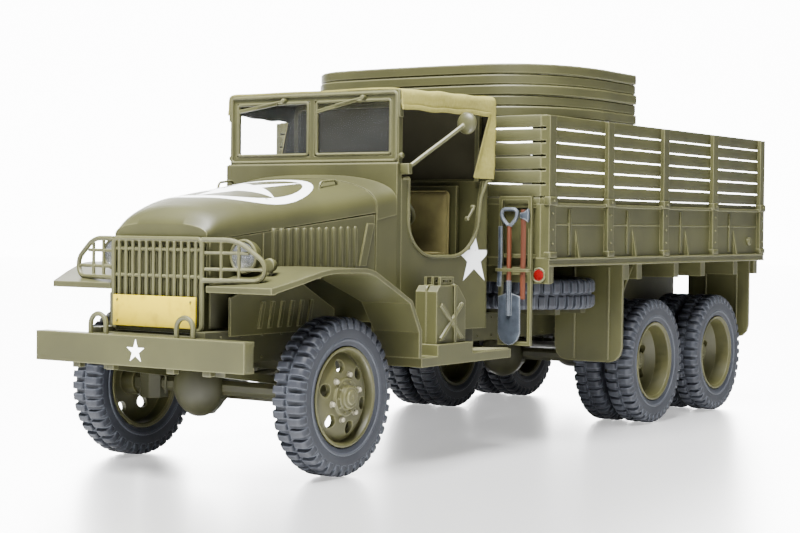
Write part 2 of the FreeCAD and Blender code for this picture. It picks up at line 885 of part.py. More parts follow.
def make_radiator():
    """Radiator core behind the guard, between the hood's side panels."""
    keep("radiator", block(
        "core", ("-radiator_half", "radiator_y", "radiator_bottom"),
        ("2 * radiator_half", "radiator_depth", "radiator_top - radiator_bottom")))


def arch(along, half, seam, crown, inset="0", foot=None):
    """Corners of an upright slice of hood or cowl: a flat foot, upright edges and a flattened round crown."""
    outer = value(half) - value(inset)
    low = value(seam)
    rise = value(crown) - value(inset) - low
    floor = low - value("hood_wall") if foot is None else value(foot)
    station = value(along)
    corners = [Vector(-outer, station, floor)]
    for step in range(ARCH_STEPS + 1):
        angle = math.pi * step / ARCH_STEPS
        out = -math.copysign(abs(math.cos(angle)) ** ARCH_SHARE, math.cos(angle))
        up = math.sin(angle) ** ARCH_SHARE if 0 < step < ARCH_STEPS else 0
        corners.append(Vector(outer * out, station, low + rise * up))
    return corners + [Vector(outer, station, floor)]


def make_hood():
    """Hood top in three runs from nose to cowl, hollow below, with a louvred panel on each side."""
    front = ("hood_front_half", "hood_front_seam", "hood_front_crown")
    nose = ("hood_nose_half", "hood_nose_seam", "hood_nose_crown")
    brow = ("hood_brow_half", "hood_brow_seam", "hood_brow_crown")
    rear = ("hood_rear_half", "hood_rear_seam", "hood_rear_crown")
    outer = flat_skin([arch("hood_front_y", *front), arch("hood_nose_y", *nose),
                       arch("hood_brow_y", *brow), arch("hood_rear_y", *rear)])
    inner = flat_skin([
        arch("hood_front_y + hood_wall", *front, "hood_wall", "hood_front_seam - overrun"),
        arch("hood_nose_y + hood_wall", *nose, "hood_wall", "hood_front_seam - overrun"),
        arch("hood_brow_y + hood_wall", *brow, "hood_wall", "hood_front_seam - overrun"),
        arch("hood_rear_y + overrun", *rear, "hood_wall", "hood_front_seam - overrun"),
    ])
    keep("hood", feature("hood_top", outer.cut(inner)))
    panel = make_hood_side()
    keep("hood_sides", like_pieces("hood_side_pair", [panel, mirrored("hood_panel_right", panel)]))


def make_hood_side():
    """Side panel under the hood's seam, with its row of upright louvres and a slanted rear strip."""
    panel = profile("hood_panel", "side", [
        ("0", "hood_side_bottom"),
        ("panel_run", "hood_side_bottom"),
        ("panel_run", "hood_rear_seam - hood_wall - seat_gap"),
        ("0", "hood_front_seam - hood_wall - face_gap"),
    ], "-hood_wall", "hood_wall")
    raised = []
    for number in range(LOUVRE_COUNT):
        start = f"(louvre_start + {number} * louvre_pitch)"
        bottom = f"(louvre_bottom + louvre_rise * {number} / {LOUVRE_COUNT - 1})"
        raised.append(profile(f"louvre_{number}", "top", [
            ("0", start),
            ("louvre_depth", f"{start} + louvre_width"),
            ("0", f"{start} + louvre_width"),
        ], bottom, f"louvre_top - {bottom}"))
    raised.append(profile("rear_strip", "side", [
        ("strip_start", "louvre_bottom + louvre_rise"),
        ("strip_start + strip_width", "louvre_bottom + louvre_rise"),
        ("strip_start + strip_width + strip_slant", "louvre_top + louvre_rise"),
        ("strip_start + strip_slant", "louvre_top + louvre_rise"),
    ], "0", "louvre_depth"))
    side = unite("hood_panel_louvred", [panel] + raised)
    side.Placement = Placement(Vector(), Rotation(Vector(0, 0, -1), value("seam_turn")))
    bind(side, ".Placement.Rotation.Angle", "seam_turn")
    place(side, ("hood_front_half", "hood_front_y", "0"))
    return side


def make_cowl():
    """Firewall and skin behind the hood, then the upright plate that holds the dash and the windscreen."""
    hood_end = ("hood_rear_half", "hood_rear_seam", "hood_rear_crown")
    ledge = ("cowl_half", "ledge_seam", "ledge_crown")
    outer = flat_skin([arch("hood_rear_y", *hood_end, "0", "cab_bottom"),
                       arch("ledge_y", *ledge, "0", "cab_bottom")])
    inner = flat_skin([arch("hood_rear_y + cowl_wall", *hood_end, "cowl_wall", "cab_floor"),
                       arch("ledge_y + overrun", *ledge, "cowl_wall", "cab_floor")])
    skin = feature("cowl_skin", outer.cut(inner))
    plate = profile("dash_plate", "front", [
        ("-cowl_half", "cab_bottom"),
        ("cowl_half", "cab_bottom"),
        ("cowl_half", "cowl_crown"),
        ("-cowl_half", "cowl_crown"),
    ], "ledge_y", "ledge_depth", holes=[[
        ("-cowl_half + cowl_wall", "cab_floor"),
        ("cowl_half - cowl_wall", "cab_floor"),
        ("cowl_half - cowl_wall", "dash_bottom"),
        ("-cowl_half + cowl_wall", "dash_bottom"),
    ]])
    underneath = block(
        "cowl_underneath", ("-hood_rear_half + cowl_wall", "hood_rear_y - overrun", "cab_bottom - overrun"),
        ("2 * (hood_rear_half - cowl_wall)", "cowl_rear_station - hood_rear_station + 2 * overrun",
         "cab_underside - cab_bottom + overrun"))
    keep("cowl", carve("cowl_whole", unite("cowl_with_plate", [skin, plate]), [underneath]))


def make_headlamps():
    """A bowl on a short foot behind each wing of the guard, its lens, and a small lamp on the left."""
    centre = ("headlamp_spread / 2", "axle_y + headlamp_station + lens_depth + face_gap", "headlamp_height")
    bowl = turned("lamp_bowl", "y", centre, [
        ("0", "headlamp_radius"),
        ("headlamp_depth * 0.45", "headlamp_radius * 0.86"),
        ("headlamp_depth", "headlamp_radius * 0.4"),
    ], HUB_SIDES)
    foot = block("lamp_foot",
                 ("headlamp_spread / 2 - guard_bar", "axle_y + headlamp_station + headlamp_depth * 0.7",
                  "headlamp_height - headlamp_stand"),
                 ("2 * guard_bar", "2 * guard_bar", "headlamp_stand"))
    lamp = unite("lamp", [bowl, foot])
    lens = turned("lens", "y", ("headlamp_spread / 2", "axle_y + headlamp_station", "headlamp_height"),
                  [("0", "headlamp_radius * 0.9"), ("lens_depth", "headlamp_radius * 0.9")], HUB_SIDES)
    small = turned("blackout_lamp", "y", ("blackout_side", "axle_y + blackout_station", "blackout_height"),
                   [("0", "blackout_radius"), ("blackout_length", "blackout_radius")])
    keep("headlamps", like_pieces("lamps", [lamp, mirrored("lamp_right", lamp), small]))
    keep("headlamp_lenses", like_pieces("lenses", [lens, mirrored("lens_right", lens)]))


def make_fenders():
    """Arched fender over each front wheel: a bent band cut to its tapered plan, and the apron inside it."""
    front, rear = "axle_y + fender_front_station", "axle_y + fender_rear_station"
    crest_front, crest_rear = "axle_y + crest_front_station", "axle_y + crest_rear_station"
    knee = "axle_y + fender_knee_station"
    band = profile("fender_band", "side", [
        (front, "fender_front_top - fender_lip"),
        (front, "fender_front_top"),
        (crest_front, "fender_crest", "20 * fender_wall"),
        (crest_rear, "fender_crest", "14 * fender_wall"),
        (knee, "fender_knee_top"),
        (rear, "fender_rear_top"),
        (rear, "board_top"),
        (f"{rear} - fender_wall", "board_top"),
        (f"{rear} - fender_wall", "fender_rear_top - fender_wall / 3"),
        (f"{knee} - fender_wall * 0.8", "fender_knee_top - fender_wall * 0.6"),
        (f"{crest_rear} - fender_wall / 4", "fender_crest - fender_wall", "13 * fender_wall"),
        (crest_front, "fender_crest - fender_wall", "19 * fender_wall"),
        (f"{front} + fender_wall", "fender_front_top - fender_wall"),
        (f"{front} + fender_wall", "fender_front_top - fender_lip"),
    ], "hood_front_half", "fender_outer - hood_front_half")
    plan = profile("fender_plan", "top", [
        ("hood_front_half + seat_gap + face_gap", front),
        ("fender_nose_outer", front),
        ("fender_nose_outer + (fender_outer - fender_nose_outer) * 0.45", f"({front} + {crest_front}) / 2"),
        ("fender_outer", f"{crest_front} + fender_lip * 4"),
        ("fender_outer", rear),
        ("hood_rear_half + seat_gap + face_gap", rear),
    ], "board_bottom", "fender_crest")
    left = like_pieces("fender_pieces", [common("fender_shape", band, plan), make_apron()])
    keep("fender_left", left)
    keep("fender_right", mirrored("fender_mirror", left))


def make_apron():
    """Inner apron between rail and fender with its slanted louvres."""
    foot = "rail_top - rail_wall"
    top = "hood_side_bottom - seat_gap"
    sheet = profile("apron_sheet", "side", [
        ("axle_y + apron_front_station", foot),
        ("axle_y + apron_rear_station", foot),
        ("axle_y + apron_rear_station", "fender_knee_top - fender_wall - fender_lip"),
        ("axle_y + crest_rear_station", top),
        ("axle_y + crest_front_station", top),
        ("axle_y + apron_front_station", "fender_front_top - fender_wall - fender_lip"),
    ], "apron_offset", "apron_wall")
    louvres = []
    for number in range(APRON_LOUVRES):
        start = f"(axle_y + apron_louvre_station + {number} * apron_louvre_pitch)"
        louvres.append(profile(f"apron_louvre_{number}", "side", [
            (start, f"{foot} + fender_lip"),
            (f"{start} + louvre_width", f"{foot} + fender_lip"),
            (f"{start} + louvre_width + fender_lip", "fender_knee_top"),
            (f"{start} + fender_lip", "fender_knee_top"),
        ], "apron_offset + apron_wall", "louvre_depth"))
    return unite("apron", [sheet] + louvres)


def make_running_boards():
    """Boards beside the cab with risers, brackets to the rail and, on the left, the can's tray."""
    deck = block("deck", ("board_inner", "board_start_y", "board_bottom"),
                 ("fender_outer - board_inner", "board_end_y - board_start_y", "board_height"))
    riser = block("riser", ("board_inner", "cowl_rear_y", "board_top"),
                  ("cab_wall", "board_end_y - cowl_rear_y", "cab_bottom - board_top"))
    arms = []
    for number, share in enumerate(BOARD_BRACKET_SHARES):
        arms.append(block(
            f"board_arm_{number}",
            ("frame_half", f"board_start_y + (board_end_y - board_start_y) * {share}",
             "board_bottom"),
            ("board_inner - frame_half", "bracket_width", "2 * board_height")))
    plain = unite("board", [deck, riser] + arms)
    outer = block("tray_outer",
                  ("can_inner - 2 * tray_wall", "axle_y + can_station - 2 * tray_wall", "board_top"),
                  ("can_width + 4 * tray_wall", "can_length + 4 * tray_wall", "tray_height"))
    inner = block("tray_inner", ("can_inner - seat_gap / 3", "axle_y + can_station - seat_gap / 3",
                                 "board_top + tray_wall"),
                  ("can_width + seat_gap / 1.5", "can_length + seat_gap / 1.5", "tray_height + overrun"))
    left = unite("board_with_tray", [plain, carve("tray", outer, [inner])])
    keep("running_boards", like_pieces("board_pair", [left, mirrored("board_right", plain)]))


def make_cab():
    """Open cab tub with a deep U-shaped doorway on each side and the bow of the canvas top."""
    outer = profile("tub_outer", "top", [
        ("-cowl_half", "cowl_rear_y"),
        ("cowl_half", "cowl_rear_y"),
        ("cab_rear_half", "cab_rear_y", "cab_corner"),
        ("-cab_rear_half", "cab_rear_y", "cab_corner"),
    ], "cab_bottom", "cab_top - cab_bottom")
    inner_plan = [
        ("-cowl_half + cab_wall", "cowl_rear_y - overrun"),
        ("cowl_half - cab_wall", "cowl_rear_y - overrun"),
        ("cowl_half - cab_wall", "cowl_rear_y"),
        ("cab_rear_half - cab_wall", "cab_rear_y - cab_wall"),
        ("-cab_rear_half + cab_wall", "cab_rear_y - cab_wall"),
        ("-cowl_half + cab_wall", "cowl_rear_y"),
    ]
    inner = profile("tub_inner", "top", inner_plan, "cab_floor", "cab_top")
    doorway = profile("doorway", "side", [
        ("axle_y + door_front_station", "door_bottom", "door_corner"),
        ("axle_y + door_rear_station", "door_bottom", "door_corner"),
        ("axle_y + door_rear_station + door_top_flare / 2", "cab_top - door_top_flare"),
        ("axle_y + door_rear_station + door_top_flare", "cab_top + overrun"),
        ("axle_y + door_front_station", "cab_top + overrun"),
    ], "-cab_rear_half - overrun", "2 * (cab_rear_half + overrun)")
    side = "(cab_rear_half - cab_wall - bow_tube)"
    under_cloth = "canvas_top - canvas_wall - seat_gap"
    bow = profile("cab_bow_hoop", "front", [
        (f"-{side}", "cab_top"),
        (f"-{side} + bow_tube", "cab_top"),
        *bend(f"-{side} + bow_tube", f"{under_cloth} - bow_tube", "bow_tube", 1, -1, inside=True)[::1],
        *bend(f"{side} - bow_tube", f"{under_cloth} - bow_tube", "bow_tube", -1, -1, inside=True),
        (f"{side} - bow_tube", "cab_top"),
        (side, "cab_top"),
        *bend(side, under_cloth, "2 * bow_tube", -1, -1),
        *bend(f"-{side}", under_cloth, "2 * bow_tube", 1, -1),
    ], "cab_rear_y - cab_wall - bow_tube", "bow_tube")
    hollow = profile("tub_hollow", "top", inner_plan, "cab_bottom - overrun",
                     "cab_underside - cab_bottom + overrun")
    notch = block("tub_notch", ("-frame_half - seat_gap", "cab_rear_y - overrun", "cab_bottom - overrun"),
                  ("frame_width + 2 * seat_gap", "2 * overrun", "cab_underside - cab_bottom + overrun"))
    keep("cab_tub", unite("tub_with_bow", [carve("tub", outer, [inner, hollow, notch, doorway]), bow]))


def make_windscreen():
    """Upright screen frame with a centre post and two panes."""
    frame = profile("screen_frame", "front", [
        ("-screen_width / 2", "cowl_crown"),
        ("screen_width / 2", "cowl_crown"),
        ("screen_width / 2", "screen_top"),
        ("-screen_width / 2", "screen_top"),
    ], "screen_y", "screen_depth", holes=[[
        ("screen_post / 2", "cowl_crown + screen_border"),
        ("screen_width / 2 - screen_border", "cowl_crown + screen_border"),
        ("screen_width / 2 - screen_border", "screen_top - screen_border"),
        ("screen_post / 2", "screen_top - screen_border"),
    ], [
        ("-screen_width / 2 + screen_border", "cowl_crown + screen_border"),
        ("-screen_post / 2", "cowl_crown + screen_border"),
        ("-screen_post / 2", "screen_top - screen_border"),
        ("-screen_width / 2 + screen_border", "screen_top - screen_border"),
    ]])
    keep("windscreen_frame", frame)
    pane = block("pane", ("screen_post / 2", "screen_y + screen_depth / 2", "cowl_crown + screen_border"),
                 ("screen_width / 2 - screen_border - screen_post / 2", "glass_depth",
                  "screen_height - 2 * screen_border"))
    keep("windscreen_glass", like_pieces("panes", [pane, mirrored("pane_right", pane)]))


def make_canvas_top():
    """Stretched cloth roof of the cab, open at the front and over the doors, with slanted rear quarters."""
    roof_outer = profile("roof_outer", "top", [
        ("-cowl_half - canvas_wall", "screen_y"),
        ("cowl_half + canvas_wall", "screen_y"),
        ("cab_rear_half + canvas_wall", "cab_rear_y + canvas_overhang"),
        ("-cab_rear_half - canvas_wall", "cab_rear_y + canvas_overhang"),
    ], "cab_top + seat_gap", "canvas_top - cab_top - seat_gap")
    roof_inner = profile("roof_inner", "top", [
        ("-cowl_half", "screen_y - overrun"),
        ("cowl_half", "screen_y - overrun"),
        ("cowl_half", "screen_y"),
        ("cab_rear_half", "cab_rear_y + canvas_overhang - canvas_wall"),
        ("-cab_rear_half", "cab_rear_y + canvas_overhang - canvas_wall"),
        ("-cowl_half", "screen_y"),
    ], "cab_top - overrun", "canvas_top - canvas_wall - cab_top + overrun")
    rear = "cab_rear_y + canvas_overhang"
    side_gap = profile("canvas_door_gap", "side", [
        ("screen_y - overrun", "cab_top - overrun"),
        (f"{rear} - canvas_quarter_foot", "cab_top - overrun"),
        (f"{rear} - canvas_quarter_foot", "cab_top + seat_gap"),
        (f"{rear} - canvas_quarter_top", "canvas_skirt"),
        ("screen_y - overrun", "canvas_skirt"),
    ], "-cab_rear_half - overrun", "2 * (cab_rear_half + overrun)")
    keep("cab_canvas_top", carve("canvas", roof_outer, [roof_inner, side_gap]))


def make_seats():
    """Two seats side by side: box base, back plate, and their cushions."""
    bases, cushions = [], []
    for side, sign in (("left", "1"), ("right", "-1")):
        inner = f"{sign} * seat_centre - seat_width / 2"
        base = block(f"seat_base_{side}", (inner, "axle_y + seat_front_station", "cab_floor"),
                     ("seat_width", "seat_depth", "seat_base_top - cab_floor"))
        back = block(f"seat_plate_{side}", (inner, "axle_y + seat_front_station + seat_depth", "cab_floor"),
                     ("seat_width", "hood_wall", "back_top - cab_floor"))
        bases.append(unite(f"seat_frame_{side}", [base, back]))
        cushions.append(block(
            f"cushion_{side}", (f"{inner} + seat_gap", "axle_y + seat_front_station + seat_gap",
                                "seat_base_top + seat_gap"),
            ("seat_width - 2 * seat_gap", "seat_depth - back_depth - 3 * seat_gap", "cushion_height")))
        cushions.append(block(
            f"back_{side}",
            (f"{inner} + seat_gap", "axle_y + seat_front_station + seat_depth - seat_gap - back_depth",
             "seat_base_top + seat_gap"),
            ("seat_width - 2 * seat_gap", "back_depth", "back_top - seat_base_top - 3 * seat_gap")))
    keep("seat_frames", like_pieces("seat_pair", bases))
    keep("seat_cushions", like_pieces("cushion_set", cushions))


def make_controls():
    """Steering wheel on its raked column, which ends at the firewall."""
    bar = value("wheel_rim_bar") / 2
    radius = value("wheel_rim_radius")
    rake = value("wheel_rake")
    slope = math.radians(rake)
    rim = flat_ring([(-bar, radius), (0, radius - bar), (bar, radius), (0, radius + bar)], HUB_SIDES)
    spokes = [bar_between(Vector(0, 0, 0), Vector(0, radius * math.cos(angle), radius * math.sin(angle)),
                          bar * 0.7, 4)
              for angle in (math.pi / 2, math.pi * 7 / 6, math.pi * 11 / 6)]
    hub = turned_solid([(-bar * 2, radius / 5), (bar * 2, radius / 5)], DRUM_SIDES)
    reach = value("wheel_reach_station - hood_rear_station - cowl_wall - face_gap")
    column_length = reach / math.cos(slope) - bar * math.tan(slope)
    column = bar_between(Vector(0, 0, 0), Vector(-column_length, 0, 0), bar)
    wheel = rim.fuse(spokes + [hub, column]).removeSplitter()
    item = feature("steering", wheel)
    turn = Rotation(Vector(0, 0, 1), 90) * Rotation(Vector(0, 1, 0), -rake)
    item.Placement = Placement(point("seat_centre", "axle_y + wheel_reach_station", "wheel_rise"), turn)
    keep("steering_wheel", item)


def make_mirror():
    """Round mirror on a bent arm beside the windscreen."""
    foot = block("mirror_foot", ("cowl_half + face_gap", "screen_y", "cowl_crown - 2 * bow_tube"),
                 ("2 * bow_tube", "screen_depth", "2 * bow_tube"))
    start = point("cowl_half + face_gap + bow_tube", "screen_y + screen_depth / 2", "cowl_crown - bow_tube")
    end = point("mirror_out", "axle_y + mirror_station", "mirror_height")
    arm = feature("mirror_rod", bar_between(start, end, value("mirror_arm")))
    disc = turned("mirror_disc", "y",
                  ("mirror_out", "axle_y + mirror_station - mirror_depth / 2", "mirror_height"),
                  [("0", "mirror_radius / 2"), ("mirror_depth / 2", "mirror_radius"),
                   ("mirror_depth", "mirror_radius")], HUB_SIDES)
    keep("mirror", unite("mirror_parts", [foot, arm, disc]))


def make_jerry_can():
    """Pressed fuel can with a cross on its side and three handles, in the tray of the left running board."""
    front, rear = "axle_y + can_station", "axle_y + can_station + can_length"
    foot = "board_top + tray_wall + seat_gap / 3"
    shoulder = "board_top + tray_wall + can_height"
    edge = "(2 * tray_wall)"
    body = profile("can", "side", [
        (front, f"{foot} + {edge}"),
        (f"{front} + {edge}", foot),
        (f"{rear} - {edge}", foot),
        (rear, f"{foot} + {edge}"),
        (rear, f"{shoulder} - can_length * 0.28"),
        (f"{rear} - can_length * 0.28", shoulder),
        (f"{front} + {edge}", shoulder),
        (front, f"{shoulder} - {edge}"),
    ], "can_inner", "can_width")
    low, high = f"{foot} + 2 * {edge}", f"{shoulder} - can_length * 0.34"
    start, end = f"{front} + {edge}", f"{rear} - {edge}"
    cross = [
        profile("can_cross_rising", "side", [
            (start, low), (f"{start} + tray_wall * 2", low), (end, high), (f"{end} - tray_wall * 2", high),
        ], "can_inner + can_width", "tray_wall / 2"),
        profile("can_cross_falling", "side", [
            (end, low), (f"{start} + tray_wall * 2", high), (start, high), (f"{end} - tray_wall * 2", low),
        ], "can_inner + can_width", "tray_wall / 2"),
    ]
    handles = []
    for number in range(3):
        handles.append(profile(f"can_handle_{number}", "side", [
            (f"{front} + can_length * 0.2", shoulder),
            (f"{front} + can_length * 0.65", shoulder),
            (f"{front} + can_length * 0.65", f"{shoulder} + 3 * tray_wall"),
            (f"{front} + can_length * 0.2", f"{shoulder} + 3 * tray_wall"),
        ], f"can_inner + can_width * (0.12 + 0.33 * {number})", "tray_wall", holes=[[
            (f"{front} + can_length * 0.27", f"{shoulder} + tray_wall"),
            (f"{front} + can_length * 0.58", f"{shoulder} + tray_wall"),
            (f"{front} + can_length * 0.58", f"{shoulder} + 2 * tray_wall"),
            (f"{front} + can_length * 0.27", f"{shoulder} + 2 * tray_wall"),
        ]]))
    keep("jerry_can", unite("can_whole", [body] + cross + handles))


def make_tool_rack():
    """Upright rack before the bed's left front corner, with a shovel, an axe and a pick."""
    frame = profile("rack_frame", "front", [
        ("rack_inner", "rack_bottom"),
        ("rack_outer", "rack_bottom"),
        ("rack_outer", "rack_top"),
        ("rack_inner", "rack_top"),
    ], "rack_y", "rack_depth", holes=[[
        ("rack_inner + rack_bar", "rack_bottom + rack_bar"),
        ("rack_outer - rack_bar", "rack_bottom + rack_bar"),
        ("rack_outer - rack_bar", "rack_bottom + (rack_top - rack_bottom) / 2 - rack_bar"),
        ("rack_inner + rack_bar", "rack_bottom + (rack_top - rack_bottom) / 2 - rack_bar"),
    ], [
        ("rack_inner + rack_bar", "rack_bottom + (rack_top - rack_bottom) / 2 + rack_bar"),
        ("rack_outer - rack_bar", "rack_bottom + (rack_top - rack_bottom) / 2 + rack_bar"),
        ("rack_outer - rack_bar", "rack_top - rack_bar"),
        ("rack_inner + rack_bar", "rack_top - rack_bar"),
    ]])
    feet = []
    for number, up in enumerate(("bed_floor", "rack_top - 3 * rack_bar")):
        feet.append(block(f"rack_foot_{number}", ("rack_inner", "rack_y + rack_depth", up),
                          ("rack_outer - rack_inner", "bed_front_y - rack_y - rack_depth", "rack_bar")))
    keep("tool_rack", unite("rack", [frame] + feet))
    front = "rack_y - 2 * tool_shaft"
    middle = "(rack_inner + (rack_outer - rack_inner) * shovel_share)"
    blade = profile("shovel_blade", "front", [
        (f"{middle} - blade_width / 2", "blade_shoulder"),
        (f"{middle} - blade_width / 2", "rack_bottom + blade_width / 3"),
        (f"{middle} - blade_width / 4", "rack_bottom + blade_width / 12"),
        (middle, "rack_bottom"),
        (f"{middle} + blade_width / 4", "rack_bottom + blade_width / 12"),
        (f"{middle} + blade_width / 2", "rack_bottom + blade_width / 3"),
        (f"{middle} + blade_width / 2", "blade_shoulder"),
        (f"{middle} + blade_width / 8", "blade_shoulder + tool_shaft"),
        (f"{middle} - blade_width / 8", "blade_shoulder + tool_shaft"),
    ], "rack_y - tool_shaft", "tool_shaft")
    shaft = hexagon_bar("shovel_shaft", "z", (middle, front + " + tool_shaft", "blade_shoulder"),
                        "tool_shaft", "grip_foot - blade_shoulder + tool_shaft")
    grip = profile("shovel_grip", "front", [
        (f"{middle} - tool_shaft", "grip_foot"),
        (f"{middle} + tool_shaft", "grip_foot"),
        (f"{middle} + grip_width / 2", "grip_foot + grip_width / 2"),
        (f"{middle} + grip_width / 2", "grip_foot + grip_width"),
        (f"{middle} - grip_width / 2", "grip_foot + grip_width"),
        (f"{middle} - grip_width / 2", "grip_foot + grip_width / 2"),
    ], f"{front} + tool_shaft / 2", "tool_shaft", holes=[[
        (middle, "grip_foot + tool_shaft * 2"),
        (f"{middle} + grip_width / 2 - tool_shaft", "grip_foot + grip_width / 2"),
        (f"{middle} + grip_width / 2 - tool_shaft", "grip_foot + grip_width - tool_shaft"),
        (f"{middle} - grip_width / 2 + tool_shaft", "grip_foot + grip_width - tool_shaft"),
        (f"{middle} - grip_width / 2 + tool_shaft", "grip_foot + grip_width / 2"),
    ]])
    shovel = unite("shovel", [blade, shaft, grip])
    axe_side = "(rack_inner + (rack_outer - rack_inner) * axe_share)"
    axe_shaft = hexagon_bar("axe_shaft", "z",
                            (axe_side, front + " + tool_shaft", "blade_shoulder + tool_shaft"),
                            "tool_shaft", "grip_foot + grip_width - blade_shoulder - 2 * tool_shaft")
    axe_head = profile("axe_head", "front", [
        (f"{axe_side} - tool_shaft", "grip_foot + grip_width - tool_shaft"),
        (f"{axe_side} - tool_shaft", "grip_foot + grip_width / 2"),
        (f"{axe_side} + grip_width / 3", "grip_foot + grip_width / 4"),
        (f"{axe_side} + grip_width / 3", "grip_foot + grip_width"),
    ], f"{front} + tool_shaft / 2", "tool_shaft")
    pick_side = "(rack_inner + (rack_outer - rack_inner) * pick_share)"
    pick = profile("pick_head", "front", [
        (f"{pick_side} - tool_shaft", "pick_foot"),
        (f"{pick_side} + tool_shaft", "pick_foot"),
        (f"{pick_side} + tool_shaft", "grip_foot"),
        (pick_side, "grip_foot + tool_shaft"),
        (f"{pick_side} - tool_shaft", "grip_foot"),
    ], f"{front} + tool_shaft", "tool_shaft")
    keep("rack_tools", like_pieces("tool_set", [shovel, unite("axe", [axe_shaft, axe_head]), pick]))


def post_station(share):
    """Start of a side post, as a text, from its share of the bed's length."""
    return f"(bed_front_y + (bed_length - post_width) * {share})"


def make_bed_floor():
    """Floor on cross sills with its marker boxes, and the long sills that carry it on the rails."""
    floor = block("floor_plate", ("-bed_half", "bed_front_y", "bed_floor_bottom"),
                  ("2 * bed_half", "bed_length", "bed_floor_height"))
    along = [f"bed_front_y + (bed_length - cross_sill_width) * {share}" for share in SILL_SHARES]
    along.append("axle_y + guard_plate_front_station + guard_plate_wall + face_gap")
    sills = []
    for number, start in enumerate(along):
        sills.append(block(f"cross_sill_{number}", ("-bed_outer", start, "cross_sill_bottom"),
                           ("2 * bed_outer", "cross_sill_width", "cross_sill_height")))
    box = block("marker_box", ("bed_half - marker_width", "bed_front_y", "marker_bottom"),
                ("marker_width", "marker_depth", "bed_floor_bottom - marker_bottom"))
    keep("bed_floor", unite("bed_base", [floor, box, mirrored("marker_right", box)] + sills))
    right = block("long_sill_right", ("-frame_half", "bed_front_y", "rail_top"),
                  ("sill_width", "rail_end_y - bed_front_y", "cross_sill_bottom - rail_top"))
    left = block("long_sill_left",
                 ("frame_half - sill_width", "spare_y + tyre_radius + sill_width / 2", "rail_top"),
                 ("sill_width", "rail_end_y - spare_y - tyre_radius - sill_width / 2",
                  "cross_sill_bottom - rail_top"))
    stub = block("long_sill_front", ("frame_half - sill_width", "bed_front_y", "rail_top"),
                 ("sill_width", "spare_y - tyre_radius - sill_width / 5 - bed_front_y",
                  "cross_sill_bottom - rail_top"))
    keep("bed_sills", like_pieces("long_sills", [right, left, stub]))


def slat_boards(name, corner, lengths):
    """Level boards of a rack, one above the other with a gap between them."""
    height = f"((slat_top - slat_bottom + slat_gap) / {SLAT_COUNT} - slat_gap)"
    return [block(f"{name}_{number}", corner + (f"slat_bottom + ({height} + slat_gap) * {number}",),
                  lengths + (height,)) for number in range(SLAT_COUNT)]


def make_bed_sides():
    """Steel side panels with posts and gusset plates, and the slatted racks above them."""
    panel = block("side_panel", ("bed_outer - bed_wall", "bed_front_y", "bed_floor"),
                  ("bed_wall", "bed_length", "side_top - bed_floor"))
    posts, gussets = [], []
    for number, share in enumerate(POST_SHARES):
        posts.append(block(f"side_post_{number}", ("bed_outer", post_station(share), "bed_floor"),
                           ("post_depth", "post_width", "side_top - bed_floor")))
    for number, (share, after) in enumerate(zip(POST_SHARES, POST_SHARES[1:])):
        for kind, along, height in (
            ("post", f"{post_station(share)} + post_width", "gusset_post_height"),
            ("bay", f"({post_station(share)} + {post_station(after)}) / 2", "gusset_bay_height"),
        ):
            gussets.append(profile(f"gusset_{kind}_{number}", "front", [
                ("bed_outer", "bed_floor"),
                ("bed_half", "bed_floor"),
                ("bed_outer", f"bed_floor + {height}"),
            ], along, "gusset_wall"))
    left = unite("bed_side", [panel] + posts + gussets)
    keep("bed_sides", like_pieces("side_pair", [left, mirrored("bed_side_mirror", left)]))
    boards = slat_boards("rack_slat", ("bed_outer - bed_wall", "bed_front_y"), ("bed_wall", "bed_length"))
    stakes = []
    for number, share in enumerate(POST_SHARES):
        stakes.append(block(f"rack_post_{number}", ("bed_outer", post_station(share), "side_top"),
                            ("post_depth", "post_width", "slat_top - side_top")))
    rack = unite("side_rack", boards + stakes)
    keep("side_racks", like_pieces("rack_pair", [rack, mirrored("side_rack_mirror", rack)]))


def make_bed_front():
    """Front board of the bed with its slats between two stakes."""
    half = "(bed_outer - bed_wall)"
    panel = block("front_panel", (f"-{half}", "bed_front_y", "bed_floor"),
                  (f"2 * {half}", "bed_wall", "side_top - bed_floor"))
    boards = slat_boards("front_slat", (f"-{half}", "bed_front_y"), (f"2 * {half}", "bed_wall"))
    stakes = []
    for name, across in (("left", f"{half} - post_width"), ("right", f"-{half}")):
        stakes.append(block(f"front_stake_{name}", (across, "bed_front_y + bed_wall", "bed_floor"),
                            ("post_width", "post_depth", "slat_top - bed_floor")))
    keep("bed_front", unite("front_board", [panel] + boards + stakes))


def make_tailgate():
    """Drop tailgate between the rear posts, with its hinge rod along the floor's edge."""
    gate = block("gate", ("-bed_outer", "bed_rear_y", "hinge_rise"),
                 ("2 * bed_outer", "tailgate_depth", "side_top - hinge_rise"))
    hinge = rod("gate_hinge", "x", ("-bed_outer", "bed_rear_y + tailgate_depth / 2", "hinge_rise"),
                "tailgate_depth / 2", "2 * bed_outer")
    keep("tailgate", unite("gate_with_hinge", [gate, hinge]))


